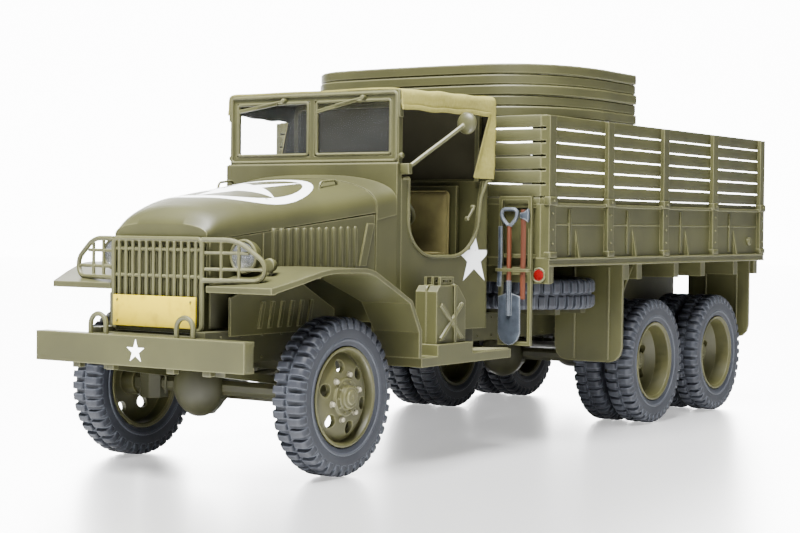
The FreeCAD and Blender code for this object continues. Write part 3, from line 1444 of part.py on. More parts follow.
def make_hoops():
    """Five wooden hoops of the load cover, laid flat across the racks: crowned bows with straight legs."""
    front, rear = "axle_y + hoop_front_station", "axle_y + hoop_rear_station"
    inner_half, inner_front = "(hoop_half - hoop_width)", f"{front} + hoop_width"

    def bow(half, start):
        """Points of a bow from the right leg to the left one."""
        right_side = [(f"-{half} * {across}", f"{start} + hoop_bow_depth * {along}")
                      for across, along in HOOP_SHARES[::-1]]
        left_side = [(f"{half} * {across}", f"{start} + hoop_bow_depth * {along}")
                     for across, along in HOOP_SHARES[1:]]
        return right_side + left_side

    outline = bow("hoop_half", front)
    outline += [("hoop_half", rear), (inner_half, rear)]
    outline += bow(inner_half, inner_front)[::-1]
    outline += [(f"-{inner_half}", rear), ("-hoop_half", rear)]
    hoops = [profile(f"hoop_{number}", "top", outline, f"hoop_bottom + hoop_pitch * {number}", "hoop_height")
             for number in range(HOOP_COUNT)]
    keep("cover_hoops", like_pieces("hoop_stack", hoops))


def make_tank_and_guards():
    """Fuel tank on the right, and the splash guards before and behind the rear wheels."""
    inner, outer = "-frame_half - tank_gap", "-frame_half - tank_gap - tank_width"
    tank = profile("tank", "front", [
        *bend(outer, "rail_top - tank_height", "tank_height / 4", 1, 1),
        *bend(inner, "rail_top - tank_height", "tank_height / 4", -1, 1),
        *bend(inner, "rail_top", "tank_height / 4", -1, -1),
        *bend(outer, "rail_top", "tank_height / 4", 1, -1),
    ], "axle_y + tank_front_station", "tank_length")
    straps = []
    for number, share in enumerate((0.2, 0.75)):
        straps.append(block(f"tank_bracket_{number}",
                            ("-frame_half - tank_gap", f"axle_y + tank_front_station + tank_length * {share}",
                             "rail_bottom + rail_wall"),
                            ("tank_gap", "bracket_width", "rail_height - 2 * rail_wall")))
    keep("fuel_tank", unite("tank_whole", [tank] + straps))
    plates = []
    for row in ("front", "rear"):
        bottom = f"guard_plate_{row}_bottom"
        plate = profile(f"guard_plate_{row}", "front", [
            *bend("guard_plate_inner", bottom, "guard_plate_corner", 1, 1),
            *bend("guard_plate_outer", bottom, "guard_plate_corner", -1, 1),
            ("guard_plate_outer", "bed_floor_bottom"),
            ("guard_plate_inner", "bed_floor_bottom"),
        ], f"axle_y + guard_plate_{row}_station", "guard_plate_wall")
        plates += [plate, mirrored(f"guard_plate_{row}_mirror", plate)]
    keep("splash_guards", like_pieces("guard_plates", plates))


def make_reflectors():
    """Red reflector discs on the marker boxes."""
    disc = turned("reflector", "y",
                  ("bed_half - marker_width / 2", "bed_front_y - reflector_depth",
                   "(marker_bottom + bed_floor_bottom) / 2"),
                  [("0", "reflector_radius"), ("reflector_depth", "reflector_radius")], HUB_SIDES)
    keep("reflectors", like_pieces("reflector_pair", [disc, mirrored("reflector_right", disc)]))


def make_rear_end():
    """Two bumperettes on the rail ends and the tow hook below them."""
    end = "axle_y + bumperette_end_station"
    outer = "bumperette_inner + bumperette_width"
    plate = profile("bumperette", "top", [
        ("bumperette_inner", "rail_end_y"),
        (outer, "rail_end_y"),
        (outer, end),
        ("bumperette_inner", end),
    ], "rail_bottom", "rail_height", holes=[[
        ("bumperette_inner + bumperette_wall", "rail_end_y + bumperette_wall"),
        (f"{outer} - bumperette_wall", "rail_end_y + bumperette_wall"),
        (f"{outer} - bumperette_wall", f"{end} - bumperette_wall"),
        ("bumperette_inner + bumperette_wall", f"{end} - bumperette_wall"),
    ]])
    keep("rear_bumpers", like_pieces("bumperettes", [plate, mirrored("bumperette_right", plate)]))
    eye = "rail_end_y + hook_reach"
    hook = profile("hook", "side", [
        ("rail_end_y", "rail_bottom + rail_wall"),
        (f"{eye} - hook_radius * 0.6", "hook_level - hook_radius"),
        (f"{eye} + hook_radius * 0.6", "hook_level - hook_radius"),
        (f"{eye} + hook_radius", "hook_level"),
        (f"{eye} + hook_radius * 0.6", "hook_level + hook_radius"),
        ("rail_end_y", "rail_top - rail_wall"),
    ], "-hook_width / 2", "hook_width", circles=[(eye, "hook_level", "hook_bore")])
    keep("tow_hook", hook)


def banjo_axle(name, along, reach):
    """Axle beam: round tube with the bowl of its final drive to the right of the middle."""
    tube = turned(f"{name}_tube", "x", (f"-({reach})", along, "tyre_radius"),
                  [("0", "axle_tube"), (f"2 * ({reach})", "axle_tube")])
    nose = f"{along} - bowl_width / 2 - bowl_radius / 2"
    bowl = turned(f"{name}_bowl", "y", ("-bowl_offset", nose, "tyre_radius"), [
        ("0", "bowl_radius / 3"),
        ("bowl_radius / 2", "bowl_radius"),
        ("bowl_radius / 2 + bowl_width * 0.7", "bowl_radius"),
        ("bowl_radius / 2 + bowl_width", "bowl_radius * 0.7"),
    ], HUB_SIDES)
    return [tube, bowl]


def make_axles():
    """Front beam between the kingpins and the two rear beams between the twin wheels."""
    keep("front_axle", unite("front_axle_whole", banjo_axle(
        "front_beam", "axle_y", "kingpin_offset - ball_radius - seat_gap")))
    reach = "(rear_track / 2 - twin_spacing / 2 - tyre_width / 2 + rim_wall)"
    beams = []
    for name, along in (("rear_beam_first", "rear_first_y"), ("rear_beam_last", "rear_last_y")):
        journal = rod(f"{name}_journal", "x", (f"{reach} - face_gap", along, "tyre_radius"),
                      "axle_tube / 2", "face_gap")
        beams.append(unite(f"{name}_whole", banjo_axle(name, along, f"{reach} - face_gap") + [journal]))
    keep("rear_axles", like_pieces("rear_beams", beams))


def make_springs():
    """Leaf packs: the front pair under the rails, the rear pair across the two rear axles."""
    foot = "tyre_radius + axle_tube + face_gap"
    end = "front_spring_half"
    front = profile("front_leaves", "side", [
        (f"axle_y - {end}", f"{foot} + front_spring_rise"),
        ("axle_y - leaf_width", foot),
        ("axle_y + leaf_width", foot),
        (f"axle_y + {end}", f"{foot} + front_spring_rise"),
        (f"axle_y + {end}", "rail_bottom"),
        (f"axle_y + {end} - leaf_width", "rail_bottom"),
        (f"axle_y + {end} - leaf_width", f"{foot} + front_spring_rise + front_spring_height * 0.8"),
        ("axle_y + 2 * leaf_width", f"{foot} + front_spring_height"),
        ("axle_y - 2 * leaf_width", f"{foot} + front_spring_height"),
        (f"axle_y - {end} + leaf_width", f"{foot} + front_spring_rise + front_spring_height * 0.8"),
        (f"axle_y - {end} + leaf_width", "rail_bottom"),
        (f"axle_y - {end}", "rail_bottom"),
    ], "frame_half - rail_flange / 2", "leaf_width")
    rear = profile("rear_leaves", "side", [
        ("rear_first_y - leaf_width", foot),
        ("rear_first_y + leaf_width", foot),
        ("bogie_y - leaf_width", f"{foot} + rear_spring_height"),
        ("bogie_y + leaf_width", f"{foot} + rear_spring_height"),
        ("rear_last_y - leaf_width", foot),
        ("rear_last_y + leaf_width", foot),
        ("rear_last_y + leaf_width", f"{foot} + rear_spring_height / 2"),
        ("bogie_y + 2 * leaf_width", f"{foot} + rear_spring_height * 2"),
        ("bogie_y - 2 * leaf_width", f"{foot} + rear_spring_height * 2"),
        ("rear_first_y - leaf_width", f"{foot} + rear_spring_height / 2"),
    ], "rear_spring_offset", "leaf_width")
    keep("leaf_springs", like_pieces("spring_set", [
        front, mirrored("front_leaves_right", front), rear, mirrored("rear_leaves_right", rear)]))


def make_drive_line():
    """Engine block, gearbox, transfer case and the shafts to the three axles."""
    engine = block("engine", ("-engine_width / 2", "axle_y + engine_front_station", "engine_bottom"),
                               ("engine_width", "engine_rear_station - engine_front_station",
                                "engine_top - engine_bottom"))
    gearbox = block("gearbox",
                    ("-gearbox_width / 2", "axle_y + engine_rear_station",
                     "cab_bottom - seat_gap - gearbox_height"),
                    ("gearbox_width", "gearbox_length", "gearbox_height"))
    keep("engine_block", unite("power_unit", [engine, gearbox]))
    transfer = block("transfer",
                     ("-bowl_offset - transfer_width / 4", "axle_y + transfer_station",
                      "tyre_radius + axle_tube"),
                     ("transfer_width", "transfer_length", "transfer_height"))
    level = "tyre_radius"
    mid_level = "tyre_radius + axle_tube + transfer_height / 3"
    shafts = []
    for name, first, last in (
        ("shaft_main", ("0", "axle_y + engine_rear_station + gearbox_length", mid_level),
         ("0", "axle_y + transfer_station", mid_level)),
        ("shaft_front", ("-bowl_offset", "axle_y + bowl_width / 2", level),
         ("-bowl_offset", "axle_y + transfer_station", mid_level)),
        ("shaft_first", ("-bowl_offset", "axle_y + transfer_station + transfer_length", mid_level),
         ("-bowl_offset", "rear_first_y - bowl_width / 2 - bowl_radius / 2", level)),
        ("shaft_over", ("-shaft_radius * 2", "axle_y + transfer_station + transfer_length",
                        "tyre_radius + axle_tube + transfer_height - shaft_radius * 2"),
         ("0", "rear_first_y", f"{level} + axle_tube + shaft_radius")),
        ("shaft_last", ("0", "rear_first_y", f"{level} + axle_tube + shaft_radius"),
         ("-bowl_offset", "rear_last_y - bowl_width / 2 - bowl_radius / 2", level)),
    ):
        shafts.append(feature(name, bar_between(point(*first), point(*last), value("shaft_radius"), 8)))
    keep("drive_line", unite("transfer_and_shafts", [transfer] + shafts))


def make_exhaust():
    """Muffler under the cab's right side with its pipe."""
    drum = turned("muffler", "y", ("-muffler_side", "axle_y + muffler_station", "muffler_height"),
                  [("0", "muffler_radius"), ("muffler_length", "muffler_radius")])
    hanger = block("muffler_hanger",
                   ("-frame_half - leaf_width * 2", "axle_y + muffler_station + muffler_length / 2",
                    "muffler_height"),
                   ("leaf_width * 2", "bow_tube", "rail_bottom + rail_wall * 2 - muffler_height"))
    tail = hexagon_bar("tail_pipe", "y", ("-muffler_side", "axle_y + muffler_station + muffler_length",
                                          "muffler_height"), "pipe_radius", "muffler_length / 2")
    keep("exhaust", unite("exhaust_whole", [drum, hanger, tail]))


def make_spare(tyre, wheel):
    """Spare wheel lying flat on its carrier bars above the rail."""
    bars = []
    for number, share in enumerate((-0.45, 0.35)):
        bars.append(block(f"carrier_bar_{number}",
                          ("-frame_half + sill_width + seat_gap", f"spare_y + tyre_radius * {share}",
                           "rail_top"),
                          ("spare_side + tyre_radius * 0.7 + frame_half - sill_width - seat_gap",
                           "carrier_width", "carrier_height")))
    keep("spare_carrier", like_pieces("carrier_bars", bars))
    turn = Rotation(Vector(0, 1, 0), -90)
    up = value("spare_bottom") + value("tyre_width") / 2
    centre = Vector(value("spare_side"), value("spare_y"), up)
    for label, shape in (("spare_tyre", tyre), ("spare_wheel", wheel)):
        item = feature(f"{label}_shape", shape)
        item.Placement = Placement(centre, turn)
        keep(label, item)


def tyre_shape():
    """Tyre about the X axis: a ring with flat sides and one straight bar of tread across each of them."""
    half = value("tyre_width / 2")
    radius = value("tyre_radius")
    root = radius - value("lug_height")
    ring = flat_ring([
        (-value("tyre_bead_width / 2"), value("tyre_bead")), (-half, root),
        (half, root), (value("tyre_bead_width / 2"), value("tyre_bead")),
    ], TREAD_BARS)
    base = root * math.cos(math.pi / TREAD_BARS)
    foot_half, top_half = value("lug_width / 2"), value("lug_width / 2 - lug_draft")
    bars = []
    for step in range(TREAD_BARS):
        slices = []
        for level, across, along in ((base, half, foot_half), (radius, half - value("lug_draft"), top_half)):
            slices.append([Vector(-across, -along, level), Vector(across, -along, level),
                           Vector(across, along, level), Vector(-across, along, level)])
        bar = flat_skin(slices)
        bar.rotate(Vector(), Vector(1, 0, 0), 180 + 360 * step / TREAD_BARS)
        bars.append(bar)
    return ring.fuse(bars).removeSplitter()


def rim_radius():
    """Radius of a rim that fits inside the flats of the tyre's bore."""
    return value("tyre_bead") * math.cos(math.pi / TREAD_BARS) - value("face_gap")


def pierced(solid, start, end):
    """The disc of a wheel with its ring of round holes."""
    holes = []
    for step in range(DISC_HOLES):
        angle = 2 * math.pi * step / DISC_HOLES
        hole = turned_solid([(start, value("disc_hole")), (end, value("disc_hole"))], HOLE_SIDES)
        hole.translate(Vector(0, math.cos(angle), math.sin(angle)) * value("disc_hole_circle"))
        holes.append(hole)
    return solid.cut(holes).removeSplitter()


def front_wheel_shape():
    """Single wheel, turned in one piece: its disc bulges out and carries a deep hub."""
    half = value("tyre_bead_width / 2 + rim_lip / 2")
    bead = rim_radius()
    inner = bead - value("rim_wall")
    knee = inner - value("disc_knee")
    wall, hub, cap = value("disc_wall"), value("hub_radius"), value("hub_cap_radius")
    foot, face = value("front_foot"), value("front_bulge")
    start = value("kingpin_offset + ball_radius + seat_gap - front_track / 2")
    wheel = turned_solid([
        (start, hub), (face, hub), (face, knee), (foot, inner), (-half, inner), (-half, bead), (half, bead),
        (half, inner), (foot + wall, inner), (face + wall, knee), (face + wall, cap),
        (value("front_hub_reach"), cap),
    ], RIM_SIDES)
    return pierced(wheel, face - wall, face + 2 * wall)


def twin_wheel_shape():
    """Two wheels back to back on one hub, turned in one piece about the middle of the pair."""
    shift = value("twin_spacing / 2")
    half = value("tyre_bead_width / 2 + rim_lip / 2")
    bead = rim_radius()
    inner = bead - value("rim_wall")
    knee = inner - value("disc_knee")
    wall, hub, foot = value("disc_wall"), value("hub_cap_radius"), value("rear_foot")
    far = shift + half
    start = -value("twin_spacing / 2 + tyre_width / 2 - rim_wall - seat_gap")
    wheel = turned_solid([
        (start, hub), (-wall, hub), (-wall, knee), (-foot - wall, inner), (-far, inner), (-far, bead),
        (far, bead), (far, inner),
        (foot + wall, inner), (wall, knee), (wall, hub), (value("rear_hub_reach"), hub),
    ], RIM_SIDES)
    return pierced(wheel, -2 * wall, 2 * wall)


def make_wheels(tyre, front_wheel):
    """Front wheels on their knuckles and four twin rear wheels."""
    twin_wheel = twin_wheel_shape()
    for side, sign in (("left", 1), ("right", -1)):
        turn = Rotation() if sign > 0 else Rotation(Vector(0, 0, 1), 180)
        centre = Vector(sign * value("front_track / 2"), value("axle_y"), value("tyre_radius"))
        front = Placement(centre, turn)
        keep(f"tyre_front_{side}", placed_wheel(f"tyre_front_{side}", tyre, front))
        keep(f"wheel_front_{side}", placed_wheel(f"wheel_front_{side}", front_wheel, front))
        for row in ("first", "last"):
            along = value(f"rear_{row}_y")
            tyres = []
            for kind, shift in (("outer", 0.5), ("inner", -0.5)):
                across = value("rear_track") / 2 + shift * value("twin_spacing")
                spot = Placement(Vector(sign * across, along, value("tyre_radius")), turn)
                tyres.append(placed_wheel(f"tyre_{row}_{side}_{kind}", tyre, spot))
            keep(f"tyres_rear_{row}_{side}", like_pieces(f"tyres_{row}_{side}", tyres))
            middle = Placement(Vector(sign * value("rear_track") / 2, along, value("tyre_radius")), turn)
            keep(f"wheels_rear_{row}_{side}", placed_wheel(f"wheels_{row}_{side}", twin_wheel, middle))


def placed_wheel(name, shape, spot):
    """A tyre or wheel at its place."""
    item = feature(f"{name}_shape", shape)
    item.Placement = spot
    return item


def make_knuckles():
    """Steering knuckles with their wheel flanges and arms, and the cranked tie rod behind them."""
    housing = turned("knuckle_housing", "z", ("kingpin_offset", "axle_y", "tyre_radius - ball_radius"),
                     [("0", "ball_radius"), ("2 * ball_radius", "ball_radius")])
    kingpin = rod("kingpin", "z", ("kingpin_offset", "axle_y", "tyre_radius + ball_radius"),
                  "axle_tube / 2", "axle_tube / 2")
    flange = turned("knuckle_flange", "x", ("kingpin_offset", "axle_y", "tyre_radius"),
                    [("0", "stub_radius"), ("ball_radius + face_gap", "stub_radius")])
    spindle = rod("knuckle_spindle", "x", ("kingpin_offset + ball_radius", "axle_y", "tyre_radius"),
                  "axle_tube / 2", "seat_gap - face_gap / 2")
    arm = block("knuckle_arm", ("kingpin_offset - tie_eye_radius", "axle_y",
                                "tyre_radius - face_gap - 2 * tie_rod_radius"),
                ("2 * tie_eye_radius", "tie_rod_back + tie_eye_radius", "2 * tie_rod_radius"))
    left = unite("knuckle_whole", [housing, kingpin, flange, spindle, arm])
    keep("knuckle_left", left)
    keep("knuckle_right", mirrored("knuckle_mirror", left))
    eye = rod("tie_eye", "z", ("kingpin_offset", "axle_y + tie_rod_back", "tyre_radius"),
              "tie_eye_radius", "2 * tie_rod_radius")
    thick = value("tie_rod_radius")
    along, level = value("axle_y + tie_rod_back"), value("tyre_radius + tie_rod_radius")
    drop = value("tie_rod_drop")
    outer, knee = value("kingpin_offset"), value("tie_rod_knee")
    low = knee - 2 * drop
    slices = []
    for across, down in ((-outer, 0), (-knee, 0), (-low, drop), (low, drop), (knee, 0), (outer, 0)):
        centre = Vector(across, along, level - down)
        slices.append([centre + Vector(0, side * thick, rise * thick)
                       for side, rise in ((-1, -1), (1, -1), (1, 1), (-1, 1))])
    bar = feature("tie_bar", flat_skin(slices))
    keep("tie_rod", unite("tie_rod_whole", [bar, eye, mirrored("tie_eye_right", eye)]))


def check_and_write():
    """Recompute, make sure that every object is sound, and write one file per sub-part."""
    doc.recompute()
    for item in doc.Objects:
        if "Invalid" in item.State or "Error" in item.State:
            raise RuntimeError(f"{item.Name} failed: {item.State}")
    for item in pieces:
        if item.Shape.isNull() or not item.Shape.isValid() or not item.Shape.Solids:
            raise RuntimeError(f"{item.Label} has no sound shape")
    for item in pieces:
        item.Shape.exportStep(os.path.join("parts", f"{item.Label}.step"))


make_frame()
make_bumper()
make_brush_guard()
make_radiator()
make_hood()
make_cowl()
make_headlamps()
make_fenders()
make_running_boards()
make_cab()
make_windscreen()
make_canvas_top()
make_seats()
make_controls()
make_mirror()
make_jerry_can()
make_tool_rack()
make_bed_floor()
make_bed_sides()
make_bed_front()
make_tailgate()
make_hoops()
make_tank_and_guards()
make_reflectors()
make_rear_end()
make_axles()
make_springs()
make_drive_line()
make_exhaust()
tyre = tyre_shape()
front_wheel = front_wheel_shape()
make_spare(tyre, front_wheel)
make_wheels(tyre, front_wheel)
make_knuckles()
check_and_write()
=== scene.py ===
"""Looks of a 1:35 plastic scale model of a military cargo truck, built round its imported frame.

Metres, +Z up, the front towards -Y, the truck's left side towards +X, the floor at zero.
The sections follow the model as it is put together: studio, chassis, wheels, front, cab, bed.
"""
import json
import math

import bmesh
import bpy
from mathutils import Euler, Matrix, Vector


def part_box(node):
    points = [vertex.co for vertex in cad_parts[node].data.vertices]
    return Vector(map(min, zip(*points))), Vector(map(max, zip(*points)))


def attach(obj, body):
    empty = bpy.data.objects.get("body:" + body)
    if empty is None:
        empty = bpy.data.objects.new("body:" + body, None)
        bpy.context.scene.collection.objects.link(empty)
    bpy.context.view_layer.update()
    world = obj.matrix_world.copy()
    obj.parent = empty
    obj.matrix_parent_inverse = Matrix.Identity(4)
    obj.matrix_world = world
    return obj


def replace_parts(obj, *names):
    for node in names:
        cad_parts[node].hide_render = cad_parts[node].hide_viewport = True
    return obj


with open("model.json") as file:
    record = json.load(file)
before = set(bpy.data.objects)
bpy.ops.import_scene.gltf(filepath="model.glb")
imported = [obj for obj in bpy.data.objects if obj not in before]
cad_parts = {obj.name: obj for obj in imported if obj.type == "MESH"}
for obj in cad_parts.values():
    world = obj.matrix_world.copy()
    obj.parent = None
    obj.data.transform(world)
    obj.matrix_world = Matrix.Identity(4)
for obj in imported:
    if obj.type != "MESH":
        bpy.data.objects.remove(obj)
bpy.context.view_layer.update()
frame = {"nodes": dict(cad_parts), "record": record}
nodes = frame["nodes"]
scene = bpy.context.scene

# Studio.  The model stands on a sheet of glossy white board in front of a white wall,
# under large soft lamps, and is looked at from its left front, a little above the floor.
CAMERA_PLACE = Vector((0.18544, -0.29071, 0.04124))
CAMERA_AZIMUTH = math.radians(34.034)
CAMERA_RISE = math.radians(1.411)
CAMERA_ROLL = math.radians(0.587)
LENS_PER_SENSOR = 1691.54 / 800
SENSOR_WIDTH = 36.0
NEAREST_SEEN = 0.01

back = Vector((math.sin(CAMERA_AZIMUTH) * math.cos(CAMERA_RISE),
               -math.cos(CAMERA_AZIMUTH) * math.cos(CAMERA_RISE), math.sin(CAMERA_RISE)))
level = Vector((math.cos(CAMERA_AZIMUTH), math.sin(CAMERA_AZIMUTH), 0))
upright = back.cross(level)
right = level * math.cos(CAMERA_ROLL) + upright * math.sin(CAMERA_ROLL)
top = upright * math.cos(CAMERA_ROLL) - level * math.sin(CAMERA_ROLL)
lens = bpy.data.cameras.new("camera")
lens.sensor_width = SENSOR_WIDTH
lens.lens = LENS_PER_SENSOR * SENSOR_WIDTH
lens.clip_start = NEAREST_SEEN
camera = bpy.data.objects.new("camera", lens)
camera.matrix_world = Matrix((right, top, back)).transposed().to_4x4()
camera.location = CAMERA_PLACE
scene.collection.objects.link(camera)
scene.camera = camera


class Signal:
    """One socket of a shader tree.  Arithmetic on it adds Math nodes and gives a new signal."""

    def __init__(self, paint, socket):
        self.paint = paint
        self.socket = socket

    def math(self, operation, *others, clamp=False):
        sockets = dict(enumerate((self, *others)))
        return self.paint.add("ShaderNodeMath", {"operation": operation, "use_clamp": clamp}, sockets)

    def __add__(self, other):
        return self.math("ADD", other)

    def __sub__(self, other):
        return self.math("SUBTRACT", other)

    def __mul__(self, other):
        return self.math("MULTIPLY", other)

    def __pow__(self, other):
        return self.math("POWER", other)

    __radd__ = __add__
    __rmul__ = __mul__

    def __rsub__(self, other):
        return (self * -1) + other

    def steps(self, low, high):
        """Zero below low, one above high, smooth between."""
        return self.paint.add("ShaderNodeMapRange", {"interpolation_type": "SMOOTHSTEP"},
                              {"Value": self, "From Min": low, "From Max": high})


class Paint:
    """A material and its node tree."""

    rounding = 0.00012

    def __init__(self, name):
        self.material = bpy.data.materials.new(name)
        self.material.use_nodes = True
        self.tree = self.material.node_tree
        self.tree.nodes.clear()
        self.place = self.add("ShaderNodeTexCoord", output="Object")

    def add(self, kind, settings=None, sockets=None, output=0):
        """Make a node: its settings first, then values or signals for its sockets."""
        node = self.tree.nodes.new(kind)
        for name, setting in (settings or {}).items():
            setattr(node, name, setting)
        for name, content in (sockets or {}).items():
            if isinstance(name, int):
                socket = node.inputs[name]
            else:
                socket = next(item for item in node.inputs if item.name == name and not item.is_unavailable)
            if isinstance(content, Signal):
                self.tree.links.new(content.socket, socket)
            else:
                socket.default_value = content
        if isinstance(output, str):
            return Signal(self, node.outputs[output])
        results = [item for item in node.outputs if not item.is_unavailable]
        return Signal(self, results[output]) if results else None

    def axis(self, letter):
        """One coordinate of the place on the object, in metres."""
        return self.add("ShaderNodeSeparateXYZ", None, {0: self.place}, letter)

    def noise(self, scale, detail=2.0, roughness=0.5, stretch=None):
        """Soft random values between zero and one, at a number of cells per metre."""
        place = self.place
        if stretch:
            place = self.add("ShaderNodeMapping", None, {"Vector": self.place, "Scale": stretch})
        return self.add("ShaderNodeTexNoise", None, {"Vector": place, "Scale": scale, "Detail": detail,
                                                     "Roughness": roughness})

    def blend(self, share, first, second):
        """Mix two colours by a share."""
        return self.add("ShaderNodeMix", {"data_type": "RGBA"}, {"Factor": share, "A": first, "B": second})

    def edge(self, radius):
        """One at sharp outer edges and zero on flat faces."""
        normal = self.add("ShaderNodeNewGeometry", output="Normal")
        bevelled = self.add("ShaderNodeBevel", {"samples": 4}, {"Radius": radius})
        alike = self.add("ShaderNodeVectorMath", {"operation": "DOT_PRODUCT"},
                         {0: normal, 1: bevelled}, output="Value")
        return (1 - alike).steps(0.005, 0.12)

    def finish(self, sockets, bump=None, bump_depth=0.0, bump_strength=0.5):
        """Close the tree with the principled shader."""
        if bump is not None:
            rounded = self.add("ShaderNodeBevel", {"samples": 4}, {"Radius": self.rounding})
            sockets["Normal"] = self.add("ShaderNodeBump", None, {
                "Height": bump, "Distance": bump_depth, "Strength": bump_strength, "Normal": rounded})
        sockets.setdefault("Specular IOR Level", 0.12)
        shader = self.add("ShaderNodeBsdfPrincipled", None, sockets)
        self.add("ShaderNodeOutputMaterial", None, {"Surface": shader})
        return self.material


MILLIMETRE = 0.001


def plain_mesh(shape, name):
    """A form as a mesh, with its faces turned outwards."""
    bmesh.ops.recalc_face_normals(shape, faces=shape.faces)
    mesh = bpy.data.meshes.new(name)
    shape.to_mesh(mesh)
    shape.free()
    return mesh


def new_piece(name, shape, material, body, sharp=35.0):
    """A form or a mesh in millimetres as a finished object that rides on its body."""
    mesh = plain_mesh(shape, name) if isinstance(shape, bmesh.types.BMesh) else shape
    mesh.transform(Matrix.Scale(MILLIMETRE, 4))
    mesh.polygons.foreach_set("use_smooth", [True] * len(mesh.polygons))
    mesh.polygons.foreach_set("use_smooth", [True] * len(mesh.polygons))
    mesh.set_sharp_from_angle(angle=math.radians(sharp))
    mesh.materials.clear()
    mesh.materials.append(material)
    piece = bpy.data.objects.new(name, mesh)
    scene.collection.objects.link(piece)
    if body is None:
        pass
    else:
        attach(piece, body)
    return piece


BOARD_HALF = 3000.0
WALL_BEHIND, WALL_HALF, WALL_HEIGHT = 1600.0, 900.0, 1300.0
ROOM_LIGHT = 0.18
WHITE = (1, 1, 1, 1)
board_finish = Paint("white_board").finish({
    "Base Color": (0.97, 0.97, 0.97, 1), "Roughness": 0.3, "Metallic": 0.95, "Emission Color": WHITE,
    "Emission Strength": 0.5})
board = bmesh.new()
bmesh.ops.create_grid(board, x_segments=1, y_segments=1, size=BOARD_HALF)
new_piece("white_board", board, board_finish, None)
wall_finish = Paint("lit_wall").finish({
    "Base Color": (0.9, 0.9, 0.9, 1), "Emission Color": WHITE, "Emission Strength": 9.0})
wall = bmesh.new()
wall_middle = Vector((-math.sin(CAMERA_AZIMUTH), math.cos(CAMERA_AZIMUTH), 0)) * WALL_BEHIND
for side, height in ((-1, 0), (1, 0), (1, WALL_HEIGHT), (-1, WALL_HEIGHT)):
    wall.verts.new(wall_middle + level * side * WALL_HALF + Vector((0, 0, height)))
wall.faces.new(list(wall.verts))
new_piece("lit_wall", wall, wall_finish, None)

# Each lamp: name, place, width and height of its face, watts
LAMPS = (
    ("lamp_above", (0.06, -0.42, 0.92), (0.5, 0.5), 200.0),
    ("lamp_left", (0.9, -0.25, 0.35), (0.5, 0.5), 2.5),
)
for name, spot, face, watts in LAMPS:
    light = bpy.data.lights.new(name, "AREA")
    light.shape = "RECTANGLE"
    light.size, light.size_y = face
    light.energy = watts
    lamp = bpy.data.objects.new(name, light)
    lamp.matrix_world = (-Vector(spot)).to_track_quat("-Z", "Y").to_matrix().to_4x4()
    lamp.location = spot
    scene.collection.objects.link(lamp)
world = bpy.data.worlds.new("white_room")
world.use_nodes = True
room = world.node_tree.nodes["Background"].inputs
room["Color"].default_value = WHITE
room["Strength"].default_value = ROOM_LIGHT
scene.world = world

# Painted plastic.  Every rigid piece is moulded styrene in one olive drab, sprayed a little
# unevenly, with pale rubbed edges and a fine grain.  Its marks are printed in white, with chips.
OLIVE = (0.0195, 0.0193, 0.0066, 1)
OLIVE_DARK = (0.014, 0.0138, 0.0045, 1)
OLIVE_DEEP = (0.009, 0.0088, 0.0035, 1)
OLIVE_RUBBED = (0.06, 0.058, 0.027, 1)
WHEEL_OLIVE = (0.027, 0.0255, 0.0095, 1)
PRINT_WHITE = (0.36, 0.37, 0.37, 1)
RUBBED_WIDTH, GRAIN_DEPTH = 0.00035, 0.00002


def olive_paint(name, base=OLIVE, dark=OLIVE_DARK, rubbed=OLIVE_RUBBED, roughness=0.42, mark=None):
    """Clouded olive paint with rubbed edges and a grain, under a printed mark where one is given."""
    paint = Paint(name)
    cloud = paint.noise(90.0, 3.0)
    grain = paint.noise(2600.0, 2.0)
    colour = paint.blend(cloud.steps(0.3, 0.7), base, dark)
    colour = paint.blend(paint.edge(RUBBED_WIDTH) * (0.45 + grain * 0.7), colour, rubbed)
    if mark:
        chips = paint.noise(700.0, 4.0).steps(0.24, 0.34)
        colour = paint.blend(mark(paint) * chips, colour, PRINT_WHITE)
    sockets = {"Base Color": colour, "Roughness": roughness + cloud * 0.12, "Specular IOR Level": 0.15}
    return paint.finish(sockets, grain, GRAIN_DEPTH, 0.4)


olive_body = olive_paint("olive_body")
olive_chassis = olive_paint("olive_chassis", OLIVE_DARK, OLIVE_DEEP, OLIVE, 0.5)
olive_wheel = olive_paint("olive_wheel", WHEEL_OLIVE, roughness=0.4)
OLIVE_PAINTS = {"olive_body": olive_body, "olive_chassis": olive_chassis, "olive_wheel": olive_wheel}


def cast_piece(name, shape, slot="olive_body", body="truck", sharp=35.0):
    """A piece moulded in olive styrene."""
    return new_piece(name, shape, OLIVE_PAINTS[slot], body, sharp)


for row in frame["record"]["subparts"]:
    part = nodes[row["node"]]
    part.data.materials.clear()
    part.data.materials.append(OLIVE_PAINTS.get(row["material_slot"], olive_body))

# Chassis.  A moulded ladder frame carries the axles, springs and bumper.  Its rivets, bolt heads,
# spring clips and the ribs of the running boards are cast on, and the small star is a printed mark.
BRIGHT_PRINT, WORN_PRINT = (0.78, 0.78, 0.74, 1), (0.62, 0.62, 0.57, 1)
print_paint = Paint("white_print")
print_wear = print_paint.noise(900.0, 3.0).steps(0.25, 0.8)
white_print = print_paint.finish({
    "Base Color": print_paint.blend(print_wear, BRIGHT_PRINT, WORN_PRINT), "Roughness": 0.5})
FRONT_AXLE, FIRST_AXLE, LAST_AXLE = -67.7, 34.85, 67.15
AXLE_HEIGHT = 13.1
SOFT_EDGE = 0.12


def corner(node, high):
    """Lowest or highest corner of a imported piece, in millimetres."""
    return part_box(node)[1 if high else 0] / MILLIMETRE


